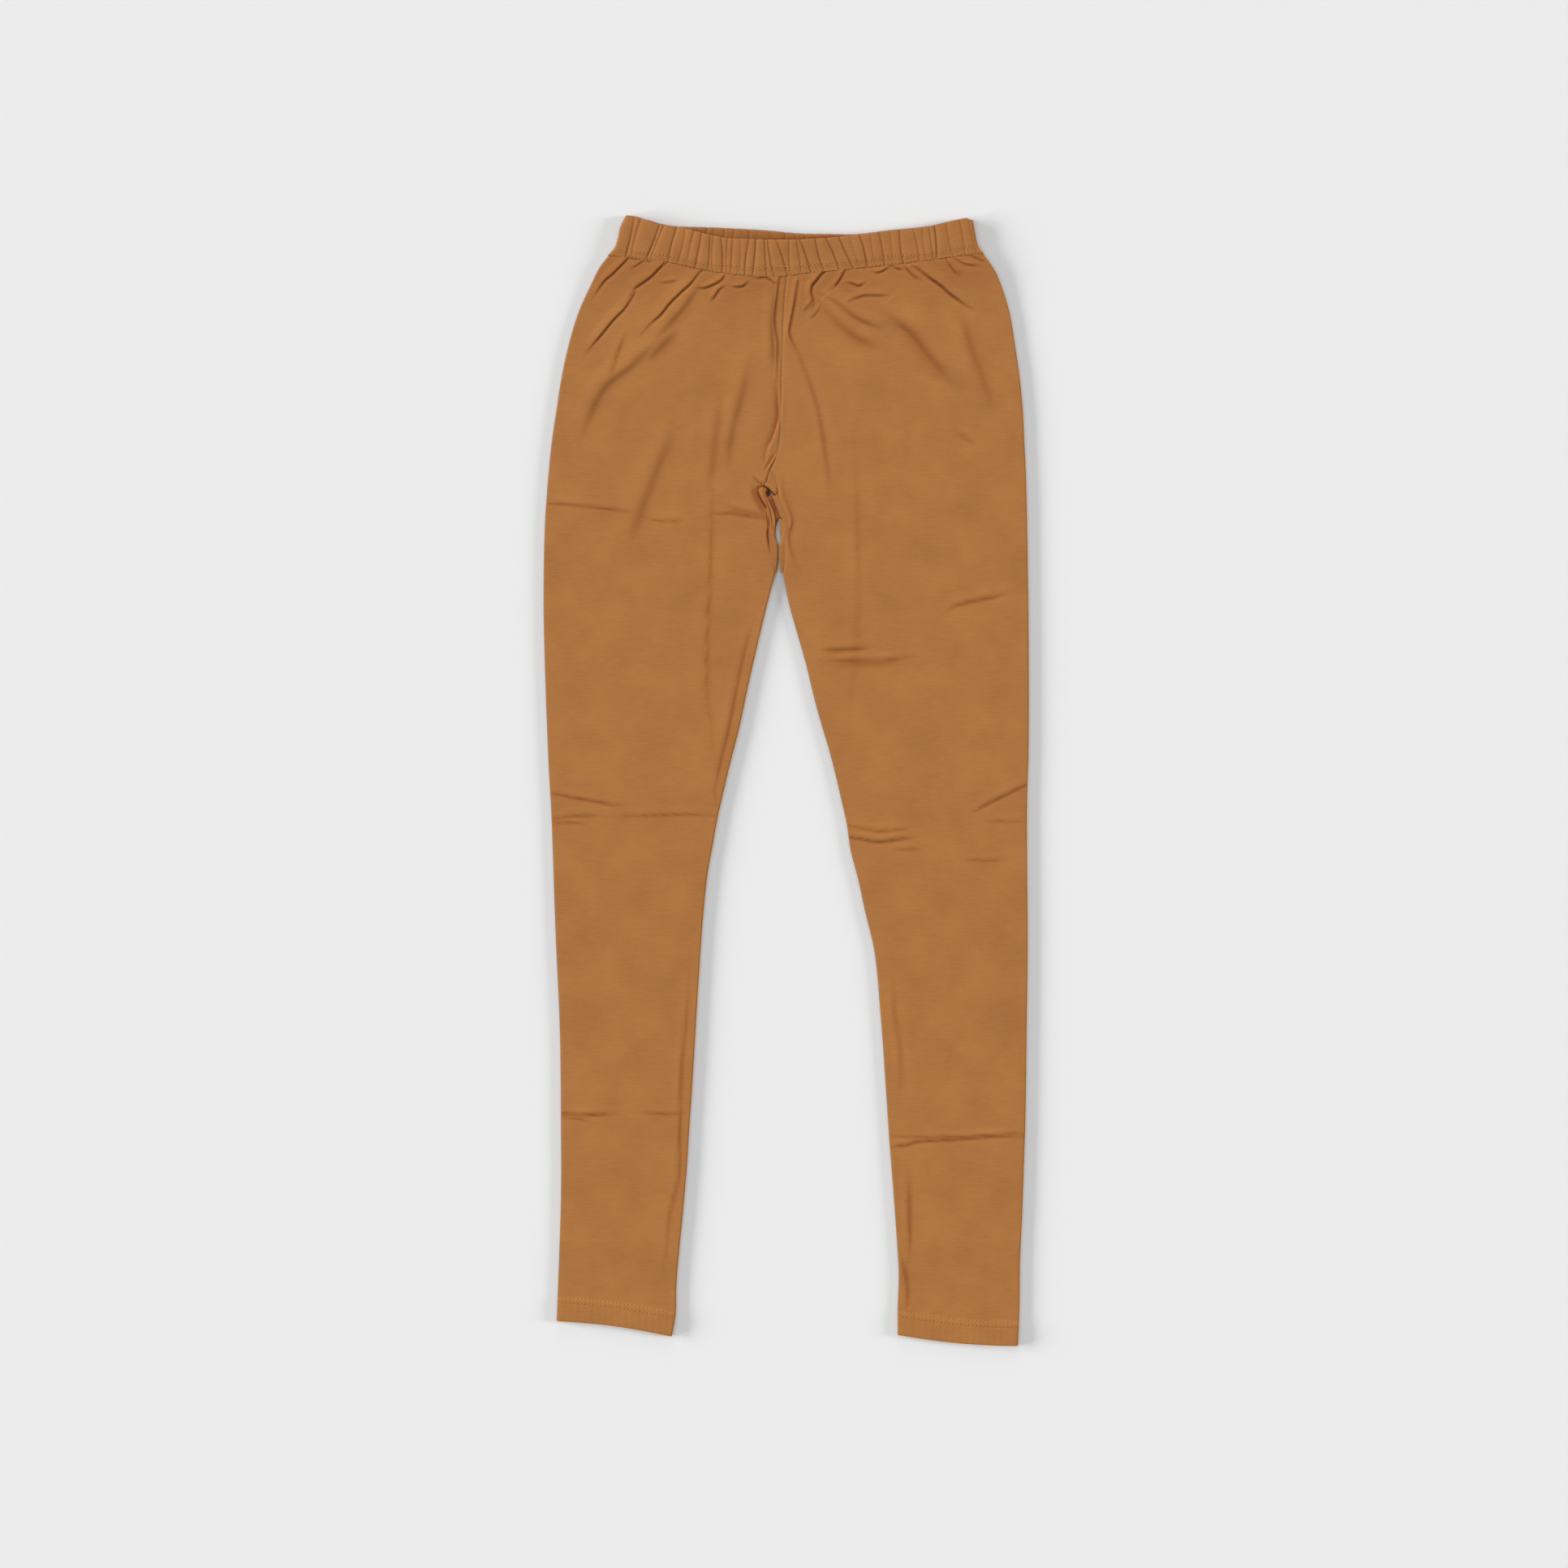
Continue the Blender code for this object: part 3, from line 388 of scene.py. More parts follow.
    ("left", 0.6, 2.4, 7.0, 0.0, 0.0, ((111, 880), (113, 922), (113, 970))),
    ("left", 0.6, 2.4, 6.0, 0.0, 0.3, ((105, 962), (109, 979), (111, 993), (111, 1008))),
)
CREASE_DARK = 0.42          # painted shade: how much richer and darker the cloth's colour is made in a crisp crease
SOFT_DARK = 0.24            # in a soft fold the painted shade is this share of that
WAIST_DARK = 0.17           # and this share right below the waistband, where the gathered cloth lies in shade
WAIST_DARK_REACH = 26.0
CRISP = 2.6                 # folds with a steep side up to this wide are crisp
FOLD_SCALES = (0.8, 1.1)    # heights of crisp folds and of soft ones are scaled by these
FOLD_ENDS = 0.35            # a fold gains its full strength over this share of its line
FOLD_TIP = 3.0              # past the ends of its line it dies out over at least this length
FOLD_TIP_SOFT = 0.6         # or over this share of its soft side's width
VALLEY_DEPTH = 0.6          # depth of the valley at a fold's foot, as a share of the ridge's height
# In widths of the steep side: how far outside the foot the valley is deepest, how far it reaches
# in under the ridge and out over the plain cloth, and where and how widely shade is painted on a
# soft fold
VALLEY_SHIFT = 0.2
VALLEY_IN = 0.9
VALLEY_OUT = 3.5
SOFT_DARK_SHIFT = 0.3
SOFT_DARK_WIDTH = 0.8
SOFT_DARK_MOST = 1.3        # a soft fold higher than this gets no more painted shade
COMPASS = {
    "up": (0.0, -1.0), "down": (0.0, 1.0), "left": (-1.0, 0.0), "right": (1.0, 0.0),
    "up left": (-0.7, -0.7), "up right": (0.7, -0.7), "down left": (-0.7, 0.7), "sunk": (0.0, 0.0),
}
# Folds of the back, which only rise from the board, in the same columns
BACK_FOLDS = (
    ("left", 0.9, 3.0, 8.0, 1.0, 0.0, ((-120, 42), (-136, 66), (-150, 96))),
    ("left", 0.8, 3.0, 8.0, 1.0, 0.0, ((-62, 43), (-70, 72), (-84, 110))),
    ("right", 0.9, 3.0, 8.0, 1.0, 0.0, ((58, 46), (70, 78), (90, 112))),
    ("right", 0.8, 3.0, 8.0, 1.0, 0.0, ((128, 42), (146, 70), (160, 100))),
    ("left", 0.7, 6.0, 14.0, 0.0, 0.0, ((-60, 180), (-84, 240), (-110, 300))),
    ("right", 0.7, 6.0, 14.0, 0.0, 0.0, ((40, 180), (70, 240), (104, 300))),
    ("up", 0.6, 2.5, 8.0, 0.5, 0.5, ((-222, 268), (-140, 274), (-30, 280))),
    ("up", 0.6, 2.5, 8.0, 0.5, 0.5, ((224, 300), (140, 296), (20, 300))),
    ("up", 0.6, 2.5, 8.0, 0.5, 0.5, ((-219, 540), (-140, 546), (-62, 552))),
    ("up", 0.7, 2.5, 8.0, 0.5, 0.5, ((224, 548), (140, 562), (56, 570))),
    ("up", 0.6, 2.5, 8.0, 0.5, 0.5, ((-208, 830), (-150, 832), (-92, 829))),
    ("up", 0.6, 2.5, 8.0, 0.5, 0.5, ((220, 848), (160, 852), (98, 856))),
)


def read(table, places, column=1):
    """A column of a table at any places, along a smooth curve through its rows."""
    at = np.array([row[0] for row in table], float)
    values = np.array([row[column] for row in table], float)
    before = np.maximum(np.arange(len(at)) - 1, 0)
    after = np.minimum(np.arange(len(at)) + 1, len(at) - 1)
    slopes = (values[after] - values[before]) / (at[after] - at[before])
    places = np.clip(places, at[0], at[-1])
    row = np.clip(np.searchsorted(at, places) - 1, 0, len(at) - 2)
    span = at[row + 1] - at[row]
    share = (places - at[row]) / span
    square, cube = share ** 2, share ** 3
    return (
        (2.0 * cube - 3.0 * square + 1.0) * values[row]
        + (cube - 2.0 * square + share) * span * slopes[row]
        + (3.0 * square - 2.0 * cube) * values[row + 1]
        + (cube - square) * span * slopes[row + 1]
    )


def ease(value):
    """Turns a ramp from 0 to 1 into a soft step."""
    value = np.clip(value, 0.0, 1.0)
    return value * value * (3.0 - 2.0 * value)


def smooth_line(corners, apart=2.0):
    """Points along a smooth curve through a line's corners."""
    corners = np.array(corners, float)
    reach = np.concatenate(([0.0], np.cumsum(np.hypot(*np.diff(corners, axis=0).T))))
    places = np.linspace(0.0, reach[-1], max(6, int(reach[-1] / apart)))
    return np.column_stack([
        read(np.column_stack((reach, corners[:, axis])), places) for axis in (0, 1)
    ])


def folds_lift(folds, across, down):
    """How far a table of folds lifts the cloth at each point, and how much shade is painted there."""
    lift, crease = np.zeros(len(across)), np.zeros(len(across))
    for way, rise, steep, soft, at_start, at_end, corners in folds:
        line = smooth_line(corners)
        room = max(steep + soft, (VALLEY_SHIFT + VALLEY_OUT) * steep)
        near = np.flatnonzero(
            (across > line[:, 0].min() - room) & (across < line[:, 0].max() + room)
            & (down > line[:, 1].min() - room) & (down < line[:, 1].max() + room)
        )
        if not len(near):
            continue
        start, run = line[:-1], np.diff(line, axis=0)
        squared = (run ** 2).sum(axis=1)
        offset_x = across[near, None] - start[None, :, 0]
        offset_y = down[near, None] - start[None, :, 1]
        along = np.clip((offset_x * run[:, 0] + offset_y * run[:, 1]) / squared, 0.0, 1.0)
        away_x = offset_x - along * run[:, 0]
        away_y = offset_y - along * run[:, 1]
        away = np.hypot(away_x, away_y)
        pick = away.argmin(axis=1)
        rows = np.arange(len(near))
        distance = away[rows, pick]
        share = (pick + along[rows, pick]) / len(run)
        overall = line[-1] - line[0]
        towards = 1.0 if overall[0] * COMPASS[way][1] - overall[1] * COMPASS[way][0] > 0.0 else -1.0
        cross = run[pick, 0] * away_y[rows, pick] - run[pick, 1] * away_x[rows, pick]
        side = cross / np.sqrt(squared[pick]) * towards
        strength = (at_start + (1.0 - at_start) * ease(share / FOLD_ENDS)) \
            * (at_end + (1.0 - at_end) * ease((1.0 - share) / FOLD_ENDS))
        ridge = np.where(side < steep, ease(side / steep), 1.0 - ease((side - steep) / soft))
        inside = side + VALLEY_SHIFT * steep
        valley = 1.0 - ease(
            np.where(inside > 0.0, inside / (VALLEY_IN * steep), -inside / (VALLEY_OUT * steep)))
        beyond = (share <= 0.0) | (share >= 1.0)
        tip = max(FOLD_TIP, FOLD_TIP_SOFT * soft)
        past_end = np.where(beyond, 1.0 - ease(distance / tip), 1.0)
        scale = FOLD_SCALES[0] if steep <= CRISP else FOLD_SCALES[1]
        shape = ridge - VALLEY_DEPTH * valley if way != "sunk" else ease(distance / steep) - 1.0
        lift[near] += scale * rise * strength * past_end * shape
        # How much shade is painted into the colour along the fold
        if way == "sunk":
            dark = soft * (1.0 - ease(distance / steep))
        elif steep <= CRISP:
            dark = min(1.0, rise) * past_end ** 4 * valley ** 3
        else:
            off = (side - SOFT_DARK_SHIFT * steep) / (SOFT_DARK_WIDTH * steep)
            dark = SOFT_DARK * min(SOFT_DARK_MOST, rise) * past_end * np.exp(-off ** 2)
        crease[near] = np.maximum(crease[near], strength * dark)
    return lift, crease


def waver(across, down, size, seed):
    """Slow uneven rise and fall of the cloth, between -1 and 1, with swells of about this size."""
    lattice = np.random.default_rng(seed).uniform(-1.0, 1.0, (64, 64))
    x, y = across / size + 32.0, down / size + 8.0
    column, row = np.floor(x).astype(int), np.floor(y).astype(int)
    share_x, share_y = ease(x - column), ease(y - row)
    column, row = column % 63, row % 63
    upper = lattice[row, column] * (1.0 - share_x) + lattice[row, column + 1] * share_x
    lower = lattice[row + 1, column] * (1.0 - share_x) + lattice[row + 1, column + 1] * share_x
    return upper * (1.0 - share_y) + lower * share_y


def inner_edge(leg, down):
    """Across a leg's inner edge: the centre seam, then the gusset's seam, then the inseam."""
    at_gusset = read(GUSSET_SEAMS, down, 1 if leg["inward"] > 0.0 else 2)
    edge = np.where(down < CROTCH_TOP, read(CENTRE_SEAM, down), at_gusset)
    return np.where(down < CROTCH_END, edge, read(leg["inseam"], down))


def row_places(leg, right_side):
    """Rows down a leg's cloth: how far down at the inner edge, turn round the hem's fold, climb inside.

    The wrong side has no folds to show below the crotch, so its rows are further apart there.
    """
    top = float(read(WAIST_SEAM_FRONT, 0.5)) - TUCK
    hem = leg["hem_inseam"]
    rows = [top]
    for limit, step in ROW_STEPS:
        if not right_side and limit > CROTCH_END:
            step = max(step, WRONG_SIDE_STEP)
        count = max(1, round((limit - rows[-1]) / step))
        rows += list(np.linspace(rows[-1], limit, count + 1)[1:])
    rows += list(np.linspace(rows[-1], hem, HEM_ROWS + 1)[1:])
    turns = [0.0] * len(rows) + [math.pi * step / FOLD_ROWS for step in range(1, FOLD_ROWS + 1)]
    turns += [math.pi] * len(TURNED_ROWS)
    climbs = [0.0] * (len(rows) + FOLD_ROWS) + list(TURNED_ROWS)
    rows += [hem] * (FOLD_ROWS + len(TURNED_ROWS))
    return np.array(rows), np.array(turns), np.array(climbs)


def lay_cloth(bm, across, down, upright, flat, painted_shade):
    """Moves a flat grid's points to their places on the garment.

    Where a point lies on the flat cloth becomes its UV, and the shade painted at it becomes the
    attribute that the jersey reads.
    """
    uv = bm.loops.layers.uv.verify()
    shade = bm.verts.layers.float.new("painted_shade")
    bm.verts.index_update()
    flat = np.column_stack(flat) * MM
    for face in bm.faces:
        for loop in face.loops:
            loop[uv].uv = flat[loop.vert.index]
    places = np.column_stack((across, 0.5 * LENGTH - down, upright)) * MM
    for vertex, place, shade_share in zip(bm.verts, places, painted_shade):
        vertex.co = place
        vertex[shade] = shade_share


def face_out(bm):
    """Turns a closed piece's faces round if its highest one looks down."""
    highest = max(bm.faces, key=lambda face: face.calc_center_median().z)
    if highest.normal.z < 0.0:
        bmesh.ops.reverse_faces(bm, faces=bm.faces)


def finish_piece(bm, name, material, wall=None):
    """A bmesh as one smooth object at the origin, given a wall's thickness inward if one is named."""
    mesh = bpy.data.meshes.new(name)
    bm.to_mesh(mesh)
    bm.free()
    item = bpy.data.objects.new(name, mesh)
    bpy.context.scene.collection.objects.link(item)
    if wall:
        shell = item.modifiers.new("wall", "SOLIDIFY")
        shell.thickness = wall * MM
        shell.offset = -1.0
        item.data = bpy.data.meshes.new_from_object(
            item.evaluated_get(bpy.context.evaluated_depsgraph_get()))
        item.modifiers.clear()
        bpy.data.meshes.remove(mesh)
        item.data.name = name
    item.data.materials.clear()
    item.data.materials.append(material)
    item.data.shade_smooth()
    item.data.set_sharp_from_angle(angle=math.radians(SHARP_FROM))
    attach(item, "root")
    return item


# Pattern of the jersey: wales and courses, which are 0.6 mm apart on the real cloth and 1.2 and
# 1 mm here, so that they show close up; a slub's length and height; patches of uneven dyeing; nap
WALE = 1.2
COURSE = 1.0
SLUB_LONG = 14.0
SLUB_TALL = 1.6
PATCH = 38.0
NAP = 1.6
TONE_SHARES = (0.35, 0.5, 0.15)     # how much slubs, patches and nap count in the cloth's tone
TONE_ENDS = (0.3, 0.7)              # tones at which it is darkest and lightest
LOOP_SHARE = 0.5                    # height of the loops beside that of the slubs
# Painted shade: the dye's colour is raised to the power of one plus this times the painted shade,
# and then mixed with the near black of a hole by the painted shade to the power of the second number
RICHER = 1.2
HOLE_FALL = 4.0


def jersey(name, light, middle, dark):
    """Single jersey: cotton and elastane, weft knitted and dyed in the piece.

    It is matt with a short nap. Thicker yarn shows as faint slubs across the garment, along the
    courses. Shade is painted into its colour from the piece's attribute: richer and darker in creases
    and other shaded places, as where light bounces between the yarns, and near black in a hole.
    """
    material, tree = new_material(name)
    place = add(tree, "TexCoord").outputs["UV"]
    slub_place = add(tree, "Mapping", {
        "Vector": place, "Scale": (1.0 / (SLUB_LONG * MM), 1.0 / (SLUB_TALL * MM), 1.0)})
    slub = add(tree, "TexNoise", {"Vector": slub_place.outputs["Vector"], "Scale": 1.0, "Detail": 3.0,
                                  "Roughness": 0.6})
    patches = add(tree, "TexNoise", {"Vector": place, "Scale": 1.0 / (PATCH * MM), "Detail": 4.0,
                                     "Roughness": 0.55})
    nap = add(tree, "TexNoise", {"Vector": place, "Scale": 1.0 / (NAP * MM), "Detail": 2.0})
    wales, courses = (
        add(tree, "TexWave", {"Vector": place, "Scale": math.pi / 10.0 / (apart * MM)},
            wave_type="BANDS", bands_direction=way, wave_profile="SIN")
        for way, apart in (("X", WALE), ("Y", COURSE)))
    loops = add(tree, "Math", {0: wales.outputs["Fac"], 1: courses.outputs["Fac"]}, operation="MULTIPLY")
    tone = 0.0
    for pattern, share in zip((slub, patches, nap), TONE_SHARES):
        mixed = add(tree, "Math", {0: pattern.outputs["Fac"], 1: share, 2: tone},
                    operation="MULTIPLY_ADD")
        tone = mixed.outputs[0]
    ramp = add(tree, "ValToRGB", {"Fac": tone})
    for end, position, code in zip(ramp.color_ramp.elements, TONE_ENDS, (dark, light)):
        end.position = position
        end.color = colour(code)
    ramp.color_ramp.elements.new(0.5).color = colour(middle)
    # Painted shade: the attribute makes the dye's colour richer and darker, and mixes in the near black
    # of a hole; dyed is the dye's colour with this painted shade in it
    painted_shade = add(tree, "Attribute", attribute_name="painted_shade").outputs["Fac"]
    power = add(tree, "Math", {0: painted_shade, 1: RICHER, 2: 1.0}, operation="MULTIPLY_ADD")
    richer = add(tree, "Gamma", {"Color": ramp.outputs["Color"], "Gamma": power.outputs[0]})
    hollow = add(tree, "Math", {0: painted_shade, 1: HOLE_FALL}, operation="POWER")
    dyed = add(tree, "MixRGB", {"Fac": hollow.outputs[0], "Color1": richer.outputs["Color"],
                                "Color2": colour("1A0C04")})
    height = add(tree, "Math", {0: loops.outputs[0], 1: LOOP_SHARE, 2: slub.outputs["Fac"]},
                 operation="MULTIPLY_ADD")
    relief = add(tree, "Bump", {"Height": height.outputs[0], "Strength": 0.35, "Distance": 0.00015})
    give_surface(tree, {
        "Base Color": dyed.outputs["Color"], "Roughness": 0.86, "Normal": relief.outputs["Normal"],
        "Specular IOR Level": 0.25, "Sheen Weight": 0.12, "Sheen Roughness": 0.6,
    })
    return material


leg_cloth = jersey("leg_jersey", "B5793D", "AC7138", "A26831")


def lay_leg(name, right_side):
    """One face of a leg's cloth: a flat grid laid as front, side fold, back and turned-up hem."""
    leg = LEGS[name]
    inward = leg["inward"]
    depth = 0.0 if right_side else CLOTH
    rows, hem_turns, climbs = row_places(leg, right_side)
    columns = AROUND[-1][0]
    stations = np.array(AROUND, float)
    bm = bmesh.new()
    bmesh.ops.create_grid(bm, x_segments=columns, y_segments=len(rows) - 1, size=0.5)
    bm.loops.layers.uv.new("UVMap")

    def station(vertex):
        return (vertex.co.x + 0.5) * columns, (0.5 - vertex.co.y) * (len(rows) - 1)

    for rows_end in FINE_ROWS_ENDS if right_side else ():
        last_fine = np.searchsorted(rows, rows_end)
        fine = [edge for edge in bm.edges if all(
            AROUND[0][0] - ROUNDING < x < AROUND[3][0] + ROUNDING and y < last_fine + ROUNDING
            for x, y in (station(vertex) for vertex in edge.verts))]
        bmesh.ops.subdivide_edges(bm, edges=fine, cuts=1, use_grid_fill=True)

    column, row = np.array([station(vertex) for vertex in bm.verts]).T
    order = np.arange(len(rows))
    row_down, hem_turn, climb = (np.interp(row, order, values) for values in (rows, hem_turns, climbs))
    inset = depth + (HEM_FOLD - depth) * (1.0 - np.cos(hem_turn))
    closed = ease((row_down - CROTCH_END + CLOSING) / CLOSING)
    sewn, opened, turn = (np.interp(column, stations[:, 0], stations[:, place]) for place in (1, 2, 3))
    share = opened + closed * (sewn - opened)
    turn = np.where(column < AROUND[1][0], turn * closed, turn)
    turn = np.where(column > AROUND[-2][0], 180.0 + (turn - 180.0) * closed, turn)
    turn = np.radians(turn)
    to_back = 0.5 - 0.5 * np.cos(turn)

    at_centre = float(read(CENTRE_SEAM, rows[0] + TUCK))
    side_start = leg["side"][0][1] + inward * 0.5 * (LEG_HEIGHT + WAIST_LOFT)
    at_seam = side_start + share * (at_centre - side_start)
    tuck = TUCK * ease(np.abs(at_seam - side_start) / EDGE_FADE)
    front_top = read(WAIST_SEAM_FRONT, at_seam)
    back_lower = read(WAIST_SEAM_BACK, at_seam) - front_top
    hem = leg["hem_side"] + share * (leg["hem_inseam"] - leg["hem_side"])
    hem += leg["hem_sag"] * np.sin(math.pi * share) - HEM_FOLD
    share_down = (row_down - rows[0]) / (leg["hem_inseam"] - rows[0])
    down = front_top - tuck + share_down * (hem - front_top + tuck)
    top_fade = np.maximum(0.0, 1.0 - BACK_TOP_FADE * share_down)
    down += (back_lower + tuck + BACK_TOP_DROP) * top_fade * to_back
    below_waist = down - front_top - back_lower * to_back
    above_hem = hem + HEM_FOLD - down
    down += (HEM_FOLD - depth) * np.sin(hem_turn) - climb

    in_hem = ease((HEM_DEPTH + 0.5 * HEM_STEP - above_hem) / HEM_STEP)
    height = LEG_HEIGHT + WAIST_LOFT * np.exp(-(np.maximum(0.0, below_waist) / LOFT_REACH) ** 2)
    height += (HEM_HEIGHT - LEG_HEIGHT) * in_hem
    radius = 0.5 * height
    outer = read(leg["side"], down) + inward * radius
    edge = inner_edge(leg, down)
    inner = edge - inward * (radius * closed + SEAM_GAP * (1.0 - closed))
    across = outer + share * (inner - outer) - inward * (radius - inset) * np.sin(turn)

    side_room = np.abs(across - outer) / EDGE_FADE
    inner_room = np.abs(inner - across) / EDGE_FADE / np.maximum(closed, 0.01)
    inner_room = np.where(closed > 0.0, inner_room, 1.0)
    room = ease(np.minimum(np.minimum(side_room, inner_room), 1.0) ** EDGE_ROUND)
    crown_start = ease(below_waist / CROWN_REACH)
    crown_end = ease(above_hem / CROWN_REACH)
    front = CROWN * np.sin(math.pi * np.clip(share, 0.0, 1.0)) * crown_start * crown_end
    for rise, size, seed, reach in SWELLS:
        front += rise * waver(across, down, size, seed) * ease(below_waist / reach)
    folded, crease = folds_lift(FOLDS, across, down)
    # Painted shade in the creases, and in the gathered cloth right below the waistband
    below_band_shade = np.exp(-(np.maximum(0.0, below_waist) / WAIST_DARK_REACH) ** 2)
    crease = np.maximum(crease, WAIST_DARK * below_band_shade)
    front += folded if right_side else -INNER_SINK * (row_down < FINE_ROWS_ENDS[0])
    front *= room
    sink = 1.0 - ease((below_waist + TUCK_SINK_ABOVE) / TUCK_SINK_REACH)
    front -= TUCK_SINK * sink * ease(side_room)
    roll = np.exp(-(np.abs(across - edge) / SEAM_ROLL) ** 2) * (1.0 - closed)
    front -= np.interp(down, *np.array(SEAM_DIPS).T) * roll
    for stitched in HEM_STITCHES:
        front -= HEM_GROOVE * (1.0 - ease(np.abs(above_hem - stitched) / HEM_GROOVE_HALF))
    front += HEM_PUCKER * np.sin(across * 2.0 * math.pi / HEM_PUCKER_LONG) * in_hem * room
    back = np.maximum(0.0, folds_lift(BACK_FOLDS, across, down)[0]) * room + BACK_SEAM_RISE * roll
    lift = front * np.maximum(0.0, np.cos(turn)) + back * np.maximum(0.0, -np.cos(turn))
    upright = radius + (radius - inset) * np.cos(turn) + lift

    girth = np.abs(inner - outer) * share * np.where(turn > 0.5 * math.pi, 1.0, -1.0)
    girth += radius * (turn - 0.5 * math.pi)
    flat = (girth, down * np.cos(hem_turn))
    lay_cloth(bm, across, down, upright, flat, CREASE_DARK * crease * (turn < 0.5))
    sewn_rim = [vertex for vertex in bm.verts if vertex.is_boundary and closed[vertex.index] > 0.999]
    bmesh.ops.remove_doubles(bm, verts=sewn_rim, dist=WELD)
    return bm


def make_leg(name):
    """Joins the two faces of a leg's cloth at the waist, the centre seams and inside the hem."""
    bm = lay_leg(name, True)
    wrong_side = lay_leg(name, False)
    bmesh.ops.reverse_faces(wrong_side, faces=wrong_side.faces)
    lining = bpy.data.meshes.new("wrong_side")
    wrong_side.to_mesh(lining)
    wrong_side.free()
    bm.from_mesh(lining)
    bpy.data.meshes.remove(lining)
    halfway = 0.0
    for in_hem in (False, True):
        rim = [edge for edge in bm.edges if edge.is_boundary and (edge.verts[0].co.y < halfway) == in_hem]
        bmesh.ops.bridge_loops(bm, edges=rim)
    bmesh.ops.recalc_face_normals(bm, faces=bm.faces)
    face_out(bm)
    item = finish_piece(bm, name + "_cloth", leg_cloth)
    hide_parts(name)
    return item


leg_right = make_leg("leg_right")
leg_left = make_leg("leg_left")

# The crotch gusset
# A small diamond of the same jersey between the four seams at the crotch. It lies folded in two,
# bunched under a stiff little arch, with its halves hanging as two tails that leave a slit.
GUSSET_HEIGHT = 2.8
GUSSET_TOP = 235.6
GUSSET_ROW = 0.6
GUSSET_HALF_COLUMNS = 18
GUSSET_BACK_RISE = 0.25     # its lower layer's middle lies this far above the board
# Slit between the tails: down, across at the right tail, across at the left tail
GUSSET_SLIT = (
    (279.0, -5.6, -5.6), (280.5, -7.2, -4.4), (286.5, -9.1, -2.6), (296.0, -9.4, -4.1),
    (302.0, -7.9, -5.4), (305.0, -7.1, -6.4), (317.0, -7.1, -6.6), (325.0, -8.0, -5.6),
    (330.0, -8.6, -4.6),
)
SLIT_TOP = GUSSET_SLIT[0][0]
SLIT_ROLL = 0.9             # the tails' edges at the slit roll under over this width
GUSSET_FOLD_TURN = 17.0     # the fold's line swings over to the slit's top over this length
# Folds of the gusset, in the same columns as the legs' folds
GUSSET_FOLDS = (
    ("up", 1.3, 0.9, 4.5, 0.9, 0.5, ((-25, 250), (-21, 249.5), (-17, 252), (-14, 255), (-10, 258))),
    ("sunk", 1.2, 1.2, 1.0, 1.0, 0.8,
     ((-24, 250.7), (-21, 249.9), (-17, 252.3), (-14, 255), (-10.5, 258.5))),
    ("left", 0.8, 0.8, 2.5, 0.8, 0.6, ((-19, 257), (-15, 265), (-10, 277), (-9, 290))),
    ("sunk", 0.8, 0.9, 0.8, 0.9, 0.5, ((-18.5, 257), (-14.5, 265), (-9.7, 277), (-9.2, 286))),
    ("right", 0.8, 0.8, 2.5, 0.9, 0.6, ((-15, 258), (-11, 268), (-7, 279))),
    ("sunk", 0.8, 1.0, 0.9, 1.0, 0.8, ((-14.5, 257), (-10, 268), (-6, 279))),
    ("sunk", 0.7, 0.8, 0.7, 0.6, 0.4, ((-19.5, 259), (-17, 267), (-14, 276), (-12.5, 290))),
    ("sunk", 0.7, 0.9, 0.8, 0.6, 0.6, ((-16, 238), (-17.5, 242), (-18, 247))),
    ("sunk", 0.5, 0.9, 0.7, 0.5, 0.3, ((-10, 258), (-8, 256), (-9, 252))),
)
GUSSET_LOWEST = 1.2         # its upper layer sinks no lower than this
GUSSET_TAILS = (290.0, 30.0, 0.2)       # its tails thin out: down from here, over this, by this much
GUSSET_SEAM_ROLL = 1.0      # its upper layer rolls in at the seams over this width
GUSSET_BACK_ROLL = (0.4, 1.2)           # and its lower layer rises by this much, over this width
GUSSET_PIT = (-16.4, 256.4, 2.3, 2.2)   # the hole under the arch: across, down, half width, depth
GUSSET_PIT_NARROW = 0.6     # the hole is this much narrower than it is long
HOLE_DARK = 1.0             # painted shade inside the hole, where 1 is nearly black
GUSSET_CREASE_DARK = 0.85   # painted shade in a full crease

gusset_cloth = jersey("gusset_jersey", "AF743B", "A66C35", "9B632E")


